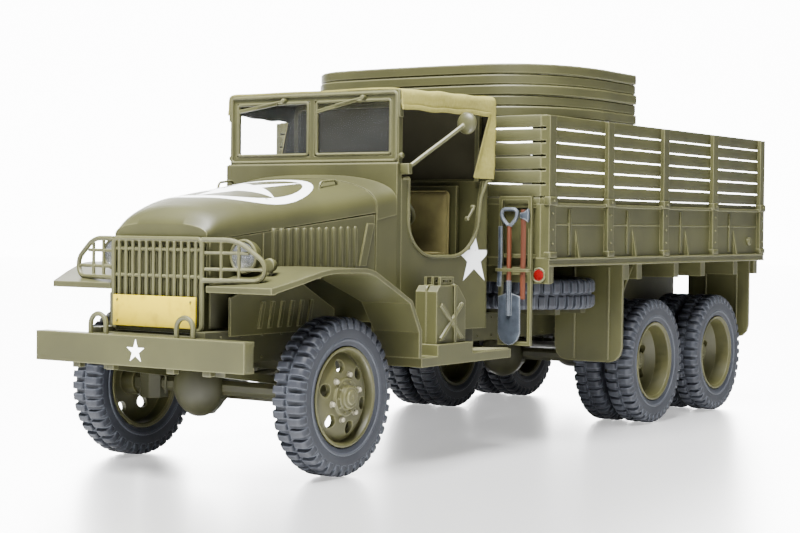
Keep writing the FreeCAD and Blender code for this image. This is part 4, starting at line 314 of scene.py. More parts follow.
def box_form(shape, low, high, soft=SOFT_EDGE):
    """A block between two corners, with softened edges."""
    verts = bmesh.ops.create_cube(shape, size=1)["verts"]
    for vert in verts:
        vert.co = [first + (last - first) * (share + 0.5) for first, last, share in zip(low, high, vert.co)]
    edges = list({edge for vert in verts for edge in vert.link_edges})
    bmesh.ops.bevel(shape, geom=edges, offset=soft, segments=2, affect="EDGES", profile=0.5)


def side_block(shape, side, inner, outer, low, high, soft=SOFT_EDGE):
    """A block on one side of the truck.  Its other two corners are (along, height) pairs."""
    near, far = sorted((side * inner, side * outer))
    box_form(shape, (near, *low), (far, *high), soft)


def skin(shape, rings, closed_along=False, closed_round=True):
    """Faces between rings of points.  A ring of one point is a tip."""
    pairs = list(zip(rings, rings[1:])) + ([(rings[-1], rings[0])] if closed_along else [])
    for first, second in pairs:
        count = max(len(first), len(second))
        if count == 1:
            continue
        for step in range(count if closed_round else count - 1):
            after = (step + 1) % count
            around = [first[step % len(first)], first[after % len(first)],
                      second[after % len(second)], second[step % len(second)]]
            shape.faces.new(list(dict.fromkeys(around)))


def lathe_form(shape, outline, centre=(0, 0, 0), axis="x", sides=32, closed=False):
    """A turned form from (along, radius) pairs.  A radius of zero closes it at its axis."""
    ahead, first, second = {"x": ((1, 0, 0), (0, 1, 0), (0, 0, 1)), "y": ((0, 1, 0), (0, 0, 1), (1, 0, 0)),
                            "z": ((0, 0, 1), (1, 0, 0), (0, 1, 0))}[axis]
    centre, ahead, first, second = Vector(centre), Vector(ahead), Vector(first), Vector(second)
    rings = []
    for along, radius in outline:
        middle = centre + ahead * along
        if radius == 0:
            rings.append([shape.verts.new(middle)])
            continue
        angles = [2 * math.pi * (step + 0.5) / sides for step in range(sides)]
        rings.append([shape.verts.new(middle + (first * math.cos(angle) + second * math.sin(angle)) * radius)
                      for angle in angles])
    skin(shape, rings, closed)


def sweep_form(shape, path, section, closed=False, up=(0, 0, 1)):
    """A rod along a path.  The section is a radius, or corners as (up, aside) pairs."""
    points = [Vector(point) for point in path]
    count = len(points)
    if isinstance(section, (int, float)):
        section = [(section * math.cos(math.pi * step / 4), section * math.sin(math.pi * step / 4))
                   for step in range(8)]
    side = Vector(up)
    rings = []
    for index, point in enumerate(points):
        before = points[index - 1] if closed or index else point
        after = points[(index + 1) % count] if closed or index < count - 1 else point
        ahead = (after - before).normalized()
        side = (side - ahead * side.dot(ahead)).normalized()
        aside = ahead.cross(side)
        rings.append([shape.verts.new(point + side * high + aside * wide) for high, wide in section])
    skin(shape, rings, closed)
    if not closed:
        shape.faces.new(rings[0])
        shape.faces.new(rings[-1])


def round_path(corners, radius, closed=False, steps=5):
    """The same path with each corner turned into a bend."""
    corners = [Vector(point) for point in corners]
    path = [] if closed else [corners[0]]
    count = len(corners)
    for index in range(count) if closed else range(1, count - 1):
        here, before, after = corners[index], corners[index - 1], corners[(index + 1) % count]
        reach = min(radius, (before - here).length / 2, (after - here).length / 2)
        start = here + (before - here).normalized() * reach
        end = here + (after - here).normalized() * reach
        alike = (before - here).normalized().dot((after - here).normalized())
        pull = math.sqrt(max(1 - alike, 0) / 2)
        for step in range(steps + 1):
            share = step / steps
            weights = (1 - share) ** 2, 2 * pull * share * (1 - share), share ** 2
            path.append((start * weights[0] + here * weights[1] + end * weights[2]) / sum(weights))
    return path if closed else path + [corners[-1]]


def plate_form(shape, outline, axis, start, depth, soft=0.0):
    """A plate cut to an outline, as thick as its depth along one axis."""
    order = {"x": lambda first, second, face: (face, first, second),
             "y": lambda first, second, face: (first, face, second)}[axis]
    rings = [[shape.verts.new(order(first, second, face)) for first, second in outline]
             for face in (start, start + depth)]
    skin(shape, rings)
    for ring in rings:
        shape.faces.new(ring)
    if soft:
        edges = list({edge for ring in rings for vert in ring for edge in vert.link_edges})
        bmesh.ops.bevel(shape, geom=edges, offset=soft, segments=2, affect="EDGES", profile=0.5)


def star_points(across, up, radius):
    """Corners of a five-pointed star that stands upright."""
    points = []
    for step in range(10):
        angle = math.pi / 2 + math.pi * step / 5
        reach = radius * (0.382 if step % 2 else 1.0)
        points.append((across + reach * math.cos(angle), up + reach * math.sin(angle)))
    return points


def bolt_form(radius, height, sides=6):
    """A bolt head on its washer, facing +X."""
    shape = bmesh.new()
    lathe_form(shape, [(0, 0), (0, radius * 1.35), (height * 0.2, radius * 1.3)], sides=16)
    lathe_form(shape, [(height * 0.15, 0), (height * 0.15, radius), (height * 0.8, radius),
                       (height, radius * 0.75), (height, 0)], sides=sides)
    return shape


# Instances of one form on points, each turned by the point's own turn and made a little unlike
repeat_tree = bpy.data.node_groups.new("repeat_on_points", "GeometryNodeTree")
repeat_inputs = {}
for label, kind in (("Geometry", "Geometry"), ("Form", "Object"), ("Spread", "Float"), ("Seed", "Int"),
                    ("Material", "Material")):
    item = repeat_tree.interface.new_socket(label, in_out="INPUT", socket_type="NodeSocket" + kind)
    repeat_inputs[label] = item.identifier
repeat_tree.interface.new_socket("Geometry", in_out="OUTPUT", socket_type="NodeSocketGeometry")
given = repeat_tree.nodes.new("NodeGroupInput")
result = repeat_tree.nodes.new("NodeGroupOutput")
form_info = repeat_tree.nodes.new("GeometryNodeObjectInfo")
turn_name = repeat_tree.nodes.new("GeometryNodeInputNamedAttribute")
turn_name.data_type = "FLOAT_VECTOR"
turn_name.inputs["Name"].default_value = "turn"
to_rotation = repeat_tree.nodes.new("FunctionNodeEulerToRotation")
smallest = repeat_tree.nodes.new("ShaderNodeMath")
smallest.operation = "SUBTRACT"
smallest.inputs[0].default_value = 1.0
random_size = repeat_tree.nodes.new("FunctionNodeRandomValue")
random_size.data_type = "FLOAT"
instances = repeat_tree.nodes.new("GeometryNodeInstanceOnPoints")
realized = repeat_tree.nodes.new("GeometryNodeRealizeInstances")
painted = repeat_tree.nodes.new("GeometryNodeSetMaterial")
for start, end in (
    (given.outputs["Geometry"], instances.inputs["Points"]),
    (given.outputs["Form"], form_info.inputs["Object"]),
    (form_info.outputs["Geometry"], instances.inputs["Instance"]),
    (next(item for item in turn_name.outputs if not item.is_unavailable), to_rotation.inputs[0]),
    (to_rotation.outputs[0], instances.inputs["Rotation"]),
    (given.outputs["Spread"], smallest.inputs[1]),
    (smallest.outputs[0], next(item for item in random_size.inputs
                               if item.name == "Min" and not item.is_unavailable)),
    (given.outputs["Seed"], random_size.inputs["Seed"]),
    (next(item for item in random_size.outputs if not item.is_unavailable), instances.inputs["Scale"]),
    (instances.outputs[0], realized.inputs[0]),
    (realized.outputs[0], painted.inputs["Geometry"]),
    (given.outputs["Material"], painted.inputs["Material"]),
    (painted.outputs[0], result.inputs[0]),
):
    repeat_tree.links.new(start, end)


def held(mesh):
    """A mesh in the scene, for modifiers to work on."""
    holder = bpy.data.objects.new(mesh.name, mesh)
    scene.collection.objects.link(holder)
    return holder


def finished(holder):
    """The plain mesh of an object after its modifiers.  The object goes."""
    bpy.context.view_layer.update()
    result = holder.evaluated_get(bpy.context.evaluated_depsgraph_get())
    mesh = bpy.data.meshes.new_from_object(result)
    bpy.data.objects.remove(holder)
    return mesh


def repeated(form, spots, material, spread=0.0, seed=1):
    """A plain mesh of one form at every spot.  Each spot is a point and its turn about the axes."""
    source = held(plain_mesh(form, "form"))
    points = bpy.data.meshes.new("spots")
    points.from_pydata([tuple(spot) for spot, turn in spots], [], [])
    turns = points.attributes.new("turn", "FLOAT_VECTOR", "POINT")
    for item, (spot, turn) in zip(turns.data, spots):
        item.vector = turn
    carrier = held(points)
    modifier = carrier.modifiers.new("repeat", "NODES")
    modifier.node_group = repeat_tree
    for label, content in (("Form", source), ("Spread", spread), ("Seed", seed), ("Material", material)):
        modifier[repeat_inputs[label]] = content
    done = finished(carrier)
    bpy.data.objects.remove(source)
    return done


def cast_row(name, form, spots, slot="olive_body", spread=0.0, seed=1):
    """One olive piece made of a form at every spot."""
    return cast_piece(name, repeated(form, spots, OLIVE_PAINTS[slot], spread, seed), slot)


def worked(shape, *steps):
    """A form after modifiers.  Each step is the kind of modifier and its settings."""
    holder = held(plain_mesh(shape, "worked"))
    for number, (kind, settings) in enumerate(steps):
        modifier = holder.modifiers.new(str(number), kind)
        for name, setting in settings.items():
            setattr(modifier, name, setting)
    done = bmesh.new()
    done.from_mesh(finished(holder))
    return done


FACING = {"left": (0, 0, 0), "right": (0, 0, math.pi), "front": (0, 0, -math.pi / 2),
          "rear": (0, 0, math.pi / 2)}
SIDES = ((1, "left"), (-1, "right"))
RIVET_START, RIVET_PITCH, RIVET_COUNT, RIVET_ROWS = -85.0, 5.2, 33, (19.5, 23.1)
RIVET_RADIUS, RIVET_HEIGHT = 0.22, 0.25
rail_side = corner("bed_sills", True)[0]
rivets = [((side * rail_side, RIVET_START + RIVET_PITCH * step, height), FACING[face])
          for step in range(RIVET_COUNT) for height in RIVET_ROWS for side, face in SIDES]
cast_row("frame_rivets", bolt_form(RIVET_RADIUS, RIVET_HEIGHT, 8), rivets, "olive_chassis", 0.1, 3)

BUMPER_STAR, PRINT_DEPTH, PRINT_PROUD = 1.95, 0.05, 0.04
bumper_low, bumper_high = corner("front_bumper", False), corner("front_bumper", True)
bumper_face = bumper_low[1]
mark = bmesh.new()
plate_form(mark, star_points(0.0, (bumper_low[2] + bumper_high[2]) / 2, BUMPER_STAR), "y",
           bumper_face - PRINT_PROUD, PRINT_DEPTH)
new_piece("bumper_star", mark, white_print, "truck")
END_WIDTH, END_PROUD, END_INSET, END_SOFT = 0.6, 0.05, 0.1, 0.25
ends = bmesh.new()
for side in (-1, 1):
    side_block(ends, side, bumper_high[0] - END_WIDTH, bumper_high[0] + END_PROUD,
               (bumper_face + END_INSET, bumper_low[2] + END_INSET),
               (bumper_high[1] - END_INSET, bumper_high[2] - END_INSET), END_SOFT)
cast_piece("bumper_ends", ends)
LUG_PLACES, LUG_HALF, LUG_LOW, LUG_HIGH, LUG_START, LUG_END = (6.5, 14.0), 0.8, 17.3, 18.3, 0.9, 2.2
lugs = bmesh.new()
for side in (-1, 1):
    for across in LUG_PLACES:
        box_form(lugs, (side * across - LUG_HALF, bumper_face + LUG_START, LUG_LOW),
                 (side * across + LUG_HALF, bumper_face + LUG_END, LUG_HIGH))
cast_piece("bumper_lugs", lugs)

BOWL_ACROSS, BOWL_BOLTS, BOWL_CIRCLE, BOWL_FLANGE = -5.9, 12, 4.35, 1.7
BOWL_OUTLINE = ((-4.6, 0), (-4.55, 1.2), (-4.2, 2.6), (-3.3, 4.0), (-2.3, 4.8), (-1.95, 5.0), (-1.7, 5.15),
                (-1.1, 5.2), (-0.9, 5.0), (0.5, 4.9), (1.2, 4.2), (1.75, 2.9), (1.9, 0))
AXLE_BOLT_RADIUS, AXLE_BOLT_HEIGHT = 0.26, 0.3
axle_bolts, bowls = [], bmesh.new()
for along in (FRONT_AXLE, FIRST_AXLE, LAST_AXLE):
    lathe_form(bowls, BOWL_OUTLINE, (BOWL_ACROSS, along, AXLE_HEIGHT), "y", 48)
    for step in range(BOWL_BOLTS):
        angle = 2 * math.pi * step / BOWL_BOLTS
        axle_bolts.append(((BOWL_ACROSS + BOWL_CIRCLE * math.cos(angle), along - BOWL_FLANGE,
                            AXLE_HEIGHT + BOWL_CIRCLE * math.sin(angle)), FACING["front"]))
cast_piece("axle_bowls", bowls, "olive_chassis")
cast_row("axle_bolts", bolt_form(AXLE_BOLT_RADIUS, AXLE_BOLT_HEIGHT), axle_bolts, "olive_chassis", 0.06, 7)

CLIP_PLACES = ((12.15, FRONT_AXLE, 14.0), (14.9, FIRST_AXLE, 14.2), (14.9, LAST_AXLE, 14.2))
CLIP_HALF, CLIP_ALONG, CLIP_DOWN, CLIP_UP, CLIP_BEND, CLIP_RADIUS = 1.25, 1.35, 2.6, 2.7, 0.5, 0.2
clips = bmesh.new()
for side in (-1, 1):
    for across, along, low in CLIP_PLACES:
        for shift in (-CLIP_ALONG, CLIP_ALONG):
            legs = [(side * (across + out * CLIP_HALF), along + shift, low + rise)
                    for out, rise in ((-1, -CLIP_DOWN), (-1, CLIP_UP), (1, CLIP_UP), (1, -CLIP_DOWN))]
            sweep_form(clips, round_path(legs, CLIP_BEND), CLIP_RADIUS, up=(0, 1, 0))
cast_piece("spring_clips", clips, "olive_chassis")

RIB_HALF, RIB_THICK, RIB_HEIGHT, RIB_SOFT = 3.1, 0.16, 0.14, 0.05
RIB_COUNT, RIB_PITCH, RIB_SLANT, RIB_LEVEL, RIB_INSET, RIB_START = 11, 0.85, 0.5, 18.58, 3.6, 1.0
rib = bmesh.new()
box_form(rib, (-RIB_HALF, -RIB_THICK, 0), (RIB_HALF, RIB_THICK, RIB_HEIGHT), RIB_SOFT)
board_high = corner("running_boards", True)
ribs = [((side * (board_high[0] - RIB_INSET), board_high[1] - RIB_START - RIB_PITCH * step, RIB_LEVEL),
         (0, 0, side * RIB_SLANT)) for side in (-1, 1) for step in range(RIB_COUNT)]
cast_row("board_ribs", rib, ribs)

GUARD_FEET, CREASE_PLACES = ((17.75, 14.2), (83.45, 16.2)), (20.6, 28.4)
CREASE_TOP, CREASE_RADIUS = 33.0, 0.22
BRACE_ENDS, BRACE_ACROSS, BRACE_RADIUS = ((24.5, 33.5), (18.7, 26.5)), 30.2, 0.35
creases = bmesh.new()
for side in (-1, 1):
    for along, foot in GUARD_FEET:
        for across in CREASE_PLACES:
            sweep_form(creases, [(side * across, along, foot), (side * across, along, CREASE_TOP)],
                       CREASE_RADIUS, up=(1, 0, 0))
    brace = [(side * BRACE_ACROSS, along, height) for along, height in BRACE_ENDS]
    sweep_form(creases, brace, BRACE_RADIUS, up=(1, 0, 0))
cast_piece("guard_creases", creases)

# Wheels.  Each tyre is soft blue-grey vinyl with two staggered rings of moulded shoulder bars.
# It is pushed on a moulded wheel with a dished disc, six holes, wheel nuts and a bolted hub.
RUBBER, RUBBER_DARK = (0.009, 0.01, 0.0128, 1), (0.006, 0.0067, 0.009, 1)
RUBBER_WORN = (0.036, 0.04, 0.048, 1)
RUBBER_EDGE = 0.0004
rubber = Paint("tyre_rubber")
rubber_cloud = rubber.noise(160.0, 3.0)
rubber_grain = rubber.noise(3000.0, 2.0)
rubber_wear = rubber.edge(RUBBER_EDGE) * (0.35 + rubber_grain * 0.6)
rubber_colour = rubber.blend(rubber_cloud.steps(0.3, 0.75), RUBBER, RUBBER_DARK)
tyre_rubber = rubber.finish({
    "Base Color": rubber.blend(rubber_wear, rubber_colour, RUBBER_WORN),
    "Roughness": 0.5 + rubber_cloud * 0.15}, rubber_grain, GRAIN_DEPTH, 0.35)
NUT_STEEL, NUT_DARK = (0.16, 0.15, 0.11, 1), (0.09, 0.085, 0.055, 1)
nut_steel = Paint("nut_tips")
nut_steel = nut_steel.finish({
    "Base Color": nut_steel.blend(nut_steel.noise(700.0), NUT_STEEL, NUT_DARK),
    "Roughness": 0.35, "Metallic": 0.3})
TREAD_COUNT, TREAD_HALF, TREAD_SOFT = 40, 0.6, 0.17
TREAD_BAR = ((0.12, 12.15), (0.3, 12.9), (0.6, 13.06), (2.15, 13.04), (2.7, 12.72), (2.97, 12.0),
             (2.98, 11.25), (2.8, 11.05), (2.5, 11.8), (1.5, 12.1))
TYRE_SIDE = ((2.1, 8.3), (2.42, 8.42), (2.6, 8.8), (2.72, 9.15), (2.86, 9.25), (2.88, 9.5), (2.78, 9.62),
             (2.9, 10.3), (2.93, 10.9), (2.88, 11.4), (2.7, 11.85), (2.3, 12.12), (1.2, 12.3), (0.35, 12.34))


def placed(mesh, spot, turn=(0, 0, 0)):
    """A copy of a mesh, turned and moved."""
    copy = mesh.copy()
    copy.transform(Matrix.Translation(spot) @ Euler(turn).to_matrix().to_4x4())
    return copy


def joined(meshes):
    """One form from several meshes."""
    shape = bmesh.new()
    for mesh in meshes:
        shape.from_mesh(mesh)
    done = bpy.data.meshes.new("joined")
    shape.to_mesh(done)
    shape.free()
    return done


def tyre_mesh():
    """One tyre about the X axis: a turned carcass under two rings of bars, half a pitch apart."""
    carcass = bmesh.new()
    outline = [*TYRE_SIDE, *((-along, radius) for along, radius in TYRE_SIDE[::-1])]
    lathe_form(carcass, outline, sides=96, closed=True)
    bar = bmesh.new()
    plate_form(bar, TREAD_BAR, "y", -TREAD_HALF, 2 * TREAD_HALF, TREAD_SOFT)
    spots = []
    for step in range(TREAD_COUNT):
        angle = 2 * math.pi * step / TREAD_COUNT
        spots += [((0, 0, 0), (angle, 0, 0)), ((0, 0, 0), (angle + math.pi / TREAD_COUNT, 0, math.pi))]
    return joined([plain_mesh(carcass, "carcass"), repeated(bar, spots, tyre_rubber)])


HOLE_COUNT, NUT_COUNT, HUB_COUNT, CUT_REACH = 6, 6, 10, 5.0
NUT_RADIUS, NUT_HEIGHT, HUB_BOLT_RADIUS, HUB_BOLT_HEIGHT = 0.42, 0.6, 0.17, 0.3


def round_spots(count, face, circle, start=0.0):
    """Spots round the X axis, each turned with its angle."""
    angles = [2 * math.pi * (step + start) / count for step in range(count)]
    return [((face, circle * math.cos(angle), circle * math.sin(angle)), (angle, 0, 0)) for angle in angles]


def wheel_mesh(outline, hole_circle, hole_radius, nut_circle, nut_face, hub_circle, hub_face):
    """A turned wheel about the X axis with holes, and the meshes of its nuts and hub bolts."""
    turned, cutters = bmesh.new(), bmesh.new()
    lathe_form(turned, outline, sides=72)
    hole = [(-CUT_REACH, 0), (-CUT_REACH, hole_radius), (CUT_REACH, hole_radius), (CUT_REACH, 0)]
    for spot, turn in round_spots(HOLE_COUNT, 0, hole_circle, 0.5):
        lathe_form(cutters, hole, spot, sides=20)
    holder, cutter = held(plain_mesh(turned, "turned")), held(plain_mesh(cutters, "cutters"))
    cut = holder.modifiers.new("holes", "BOOLEAN")
    cut.operation, cut.solver, cut.object = "DIFFERENCE", "EXACT", cutter
    wheel = finished(holder)
    bpy.data.objects.remove(cutter)
    nut_spots = round_spots(NUT_COUNT, nut_face, nut_circle)
    hub_spots = round_spots(HUB_COUNT, hub_face, hub_circle)
    return (wheel, repeated(bolt_form(NUT_RADIUS, NUT_HEIGHT), nut_spots, nut_steel),
            repeated(bolt_form(HUB_BOLT_RADIUS, HUB_BOLT_HEIGHT), hub_spots, olive_wheel))


FRONT_OUTLINE = (
    (-1.6, 0), (-1.6, 2.4), (1.2, 2.5), (1.4, 3.2), (1.4, 5.2), (1.1, 6.1), (0.5, 6.9), (0.1, 7.35),
    (-2.2, 7.4), (-2.5, 7.7), (-2.6, 8.2), (-2.4, 8.25), (-2.2, 8.0), (2.2, 8.0), (2.4, 8.25), (2.6, 8.2),
    (2.64, 7.95),
    (2.5, 7.7), (2.15, 7.5), (1.3, 7.38), (1.0, 7.3), (1.3, 6.95), (1.8, 6.35), (2.2, 5.6), (2.35, 4.8),
    (2.38, 3.3), (2.5, 3.1), (2.75, 3.05), (2.82, 2.95), (2.82, 2.1), (2.95, 1.95), (3.5, 1.85), (3.62, 1.7),
    (3.62, 1.25), (3.7, 1.12), (3.88, 1.08), (3.92, 0.95), (3.92, 0.35), (3.86, 0.25), (3.86, 0))
REAR_OUTLINE = (
    (-5.6, 0), (-5.6, 1.75), (-0.8, 1.8), (-0.8, 5.9), (-1.2, 6.4), (-2.7, 7.3), (-5.8, 7.4), (-6.1, 7.7),
    (-6.2, 8.2), (-6.0, 8.25), (-5.85, 8.0), (5.85, 8.0), (6.0, 8.25), (6.2, 8.2), (6.24, 7.95), (6.1, 7.72),
    (5.8, 7.5), (2.75, 7.36), (2.1, 6.85), (1.2, 6.25), (0.85, 5.8), (0.8, 5.2), (0.8, 3.1), (0.95, 2.95),
    (1.25, 2.95), (1.35, 2.8), (1.35, 2.05), (1.5, 1.85), (2.75, 1.7), (2.88, 1.5), (2.88, 0.9), (2.98, 0.8),
    (2.98, 0.3), (2.9, 0.2), (2.9, 0))
tyre = tyre_mesh()
single_wheel = wheel_mesh(FRONT_OUTLINE, 5.2, 1.1, 3.75, 2.38, 2.5, 2.82)
twin_wheel = wheel_mesh(REAR_OUTLINE, 5.2, 1.05, 3.85, 0.8, 2.4, 1.35)
WHEEL_SHARP, TURN_STEP, TYRE_TURN, SINGLE_ACROSS, TWIN_ACROSS, TWIN_SHIFT = 28, 0.13, 0.4, 21.9, 24.5, 3.65
WHEEL_SETS = [(f"front_{side}", f"wheel_front_{side}", SINGLE_ACROSS * sign, FRONT_AXLE, sign, False)
              for sign, side in SIDES]
WHEEL_SETS += [(f"rear_{row}_{side}", f"wheels_{row}_{side}", TWIN_ACROSS * sign, along, sign, True)
               for row, along in (("first", FIRST_AXLE), ("last", LAST_AXLE)) for sign, side in SIDES]
for name, body, across, along, sign, twin in WHEEL_SETS:
    spot = Vector((across, along, AXLE_HEIGHT))
    turn = (TURN_STEP * len(name), 0, 0 if sign > 0 else math.pi)
    shifts = (-TWIN_SHIFT, TWIN_SHIFT) if twin else (0,)
    tyres = joined([placed(tyre, spot + Vector((shift, 0, 0)), (TYRE_TURN + shift, 0, 0))
                    for shift in shifts])
    tyre_node = ("tyres_" if twin else "tyre_") + name
    wheel_node = ("wheels_" if twin else "wheel_") + name
    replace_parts(new_piece("soft_" + tyre_node, tyres, tyre_rubber, body), tyre_node)
    wheel, nuts, bolts = twin_wheel if twin else single_wheel
    turned = cast_piece("turned_" + wheel_node, placed(wheel, spot, turn), "olive_wheel", body, WHEEL_SHARP)
    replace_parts(turned, wheel_node)
    new_piece("nuts_" + name, placed(nuts, spot, turn), nut_steel, body)
    cast_piece("hub_bolts_" + name, placed(bolts, spot, turn), "olive_wheel", body)
spare_spot = (Vector(corner("spare_tyre", False)) + Vector(corner("spare_tyre", True))) / 2
spare_turn = (0, -math.pi / 2, 0)
spare_rubber = placed(tyre, spare_spot, spare_turn)
spare_disc = placed(single_wheel[0], spare_spot, spare_turn)
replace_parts(new_piece("soft_spare_tyre", spare_rubber, tyre_rubber, "truck"), "spare_tyre")
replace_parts(cast_piece("turned_spare_wheel", spare_disc, "olive_wheel", sharp=WHEEL_SHARP), "spare_wheel")

# Front.  A guard of bent steel rods, moulded in one frame with two swept wings, stands before the
# radiator's fins and two round headlamps with silvered bowls and clear lenses.
GUARD_LINE, GUARD_HALF, GUARD_LOW, GUARD_HIGH, GUARD_BEND = -86.25, 9.5, 23.95, 38.6, 0.9
GUARD_ROD, GUARD_BAR, GUARD_BARS, BAR_PITCH, BAR_FOOT = 0.42, 0.31, 12, 1.5, 24.0
CROSS_ROD, CROSS_SET, CROSS_LEVELS = 0.3, 0.3, (32.6, 36.9)
WING_SWEEP, WING_BEND, WING_ROD, WING_LOW = math.radians(14.0), 2.2, 0.28, 32.1
WING_CORNERS = ((0, 38.55), (6.2, 38.55), (11.2, 34.9), (10.6, WING_LOW), (0, WING_LOW))
WING_UPRIGHTS, UPRIGHT_SET = ((3.3, 38.5), (6.4, 37.8)), 0.1
WING_LEVELS, LEVEL_SET = ((33.9, 10.7), (36.5, 8.0)), 0.25


def frame_path(along, low, high, bend):
    """An upright rectangle with round corners, between two (across, height) pairs."""
    corners = ((low[0], low[1]), (high[0], low[1]), (high[0], high[1]), (low[0], high[1]))
    return round_path([(across, along, height) for across, height in corners], bend, closed=True)


def wing_point(side, out, height, inward=0.0):
    """A place on a wing's swept plane, by its reach out from the grille."""
    return (side * (GUARD_HALF + out * math.cos(WING_SWEEP)),
            GUARD_LINE + out * math.sin(WING_SWEEP) + inward, height)


guard = bmesh.new()
guard_frame = frame_path(GUARD_LINE, (-GUARD_HALF, GUARD_LOW), (GUARD_HALF, GUARD_HIGH), GUARD_BEND)
sweep_form(guard, guard_frame, GUARD_ROD, closed=True, up=(0, 1, 0))
for step in range(GUARD_BARS):
    across = BAR_PITCH * (step - (GUARD_BARS - 1) / 2)
    bar = [(across, GUARD_LINE, height) for height in (BAR_FOOT, GUARD_HIGH)]
    sweep_form(guard, bar, GUARD_BAR, up=(0, 1, 0))
for height in CROSS_LEVELS:
    sweep_form(guard, [(side * GUARD_HALF, GUARD_LINE + CROSS_SET, height) for side in (-1, 1)], CROSS_ROD)
for side in (-1, 1):
    wing = [wing_point(side, *spot) for spot in WING_CORNERS]
    sweep_form(guard, round_path(wing, WING_BEND), GUARD_ROD, up=(0, 1, 0))
    for out, high in WING_UPRIGHTS:
        upright_rod = [wing_point(side, out, height, UPRIGHT_SET) for height in (WING_LOW, high)]
        sweep_form(guard, upright_rod, WING_ROD, up=(0, 1, 0))
    for height, reach in WING_LEVELS:
        sweep_form(guard, [wing_point(side, out, height, LEVEL_SET) for out in (0, reach)], WING_ROD)
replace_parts(cast_piece("guard_rods", guard), "brush_guard")

FIN_DEPTH, FIN_PROUD, FIN_THICK, FIN_HALF, FIN_SOFT = 0.3, 0.05, 0.09, 6.3, 0.03
FIN_GAPS, FIN_LEVEL, FIN_INSET = 40, 31.2, 0.7
fin = bmesh.new()
box_form(fin, (-FIN_DEPTH, -FIN_THICK, -FIN_HALF), (FIN_PROUD, FIN_THICK, FIN_HALF), FIN_SOFT)
fin_face, fin_reach = corner("radiator", False)[1], corner("radiator", True)[0] - FIN_INSET
fins = [((fin_reach * (2 * step / FIN_GAPS - 1), fin_face, FIN_LEVEL), FACING["rear"])
        for step in range(FIN_GAPS + 1)]
cast_row("radiator_fins", fin, fins, "olive_chassis")

SIGN_YELLOW, SIGN_DIRTY = (0.2, 0.15, 0.0004, 1), (0.13, 0.095, 0.0003, 1)
SIGN_HALF, SIGN_LOW, SIGN_HIGH, SIGN_FACE, SIGN_THICK = 8.86, 24.35, 29.4, -87.15, 0.45
SIGN_BOLT, SIGN_BOLT_HEIGHT, SIGN_BOLT_ACROSS, SIGN_BOLT_INSET = 0.16, 0.15, 7.9, 0.8
sign_paint = Paint("yellow_sign")
sign_dirt = sign_paint.noise(500.0, 4.0).steps(0.45, 0.8)
sign_yellow = sign_paint.finish({
    "Base Color": sign_paint.blend(sign_dirt, SIGN_YELLOW, SIGN_DIRTY), "Roughness": 0.45})
sign = bmesh.new()
sign_outline = [(-SIGN_HALF, SIGN_LOW), (SIGN_HALF, SIGN_LOW),
                (SIGN_HALF, SIGN_HIGH), (-SIGN_HALF, SIGN_HIGH)]
plate_form(sign, sign_outline, "y", SIGN_FACE, SIGN_THICK, SOFT_EDGE)
new_piece("blank_sign", sign, sign_yellow, "truck")
sign_bolts = [((side * SIGN_BOLT_ACROSS, SIGN_FACE, height), FACING["front"]) for side in (-1, 1)
              for height in (SIGN_LOW + SIGN_BOLT_INSET, SIGN_HIGH - SIGN_BOLT_INSET)]
cast_row("sign_bolts", bolt_form(SIGN_BOLT, SIGN_BOLT_HEIGHT), sign_bolts)

SILVER, SILVER_DARK = (0.14, 0.145, 0.15, 1), (0.06, 0.063, 0.068, 1)
silver = Paint("silvered_bowl")
silver = silver.finish({
    "Base Color": silver.blend(silver.noise(600.0), SILVER, SILVER_DARK), "Roughness": 0.26, "Metallic": 1.0})
clear = Paint("clear_styrene")
clear_haze = clear.noise(300.0, 3.0)
clear_lens = clear.finish({"Base Color": (0.1, 0.105, 0.11, 1), "Roughness": 0.04 + clear_haze * 0.05,
                           "Alpha": 0.16 + clear_haze * 0.06})
LAMP_SPOT, MARKER_SPOT = (13.9, -81.2, 35.9), (18.5, -80.8, 34.6)
LAMP_SHELL = ((-0.25, 2.35), (-0.35, 2.55), (-0.25, 2.78), (0.15, 2.85), (0.5, 2.72), (0.6, 2.6), (1.3, 2.5),
              (2.1, 2.05), (2.8, 1.4), (3.3, 0.7), (3.45, 0), (1.5, 0), (0.9, 1.4), (0.1, 2.25))
LAMP_BOWL = ((0.0, 2.28), (0.35, 2.1), (0.8, 1.6), (1.2, 0.9), (1.35, 0.3), (0.55, 0.3), (0.4, 0.25),
             (0.3, 0))
LAMP_LENS = ((-0.22, 2.3), (-0.45, 1.9), (-0.6, 1.2), (-0.68, 0.5), (-0.7, 0), (-0.55, 0), (-0.5, 0.9),
             (-0.35, 1.7), (-0.1, 2.3))
LAMP_FOOT, FOOT_BEND, FOOT_ROD = ((-79.5, 34.0), (-79.5, 32.7), (-78.4, 32.6)), 0.8, 0.5
MARKER_SHELL = ((0, 0), (-0.05, 0.8), (0, 1.0), (0.1, 1.12), (0.5, 1.15), (0.6, 1.05), (1.2, 0.95),
                (1.8, 0.5), (2.0, 0))
MARKER_FOOT, MARKER_ROD = ((-80.0, 34.0), (-80.0, 32.4)), 0.35
lamps, bowls, lenses = bmesh.new(), bmesh.new(), bmesh.new()
for side in (-1, 1):
    spot = (side * LAMP_SPOT[0], *LAMP_SPOT[1:])
    lathe_form(lamps, LAMP_SHELL, spot, "y", 48, closed=True)
    sweep_form(lamps, round_path([(spot[0], *place) for place in LAMP_FOOT], FOOT_BEND), FOOT_ROD)
    lathe_form(bowls, LAMP_BOWL, spot, "y", 40)
    lathe_form(lenses, LAMP_LENS, spot, "y", 48, closed=True)
lathe_form(lamps, MARKER_SHELL, MARKER_SPOT, "y", 32)
sweep_form(lamps, [(MARKER_SPOT[0], *place) for place in MARKER_FOOT], MARKER_ROD, up=(0, 1, 0))
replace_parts(cast_piece("lamp_shells", lamps), "headlamps")
new_piece("lamp_bowls", bowls, silver, "truck")
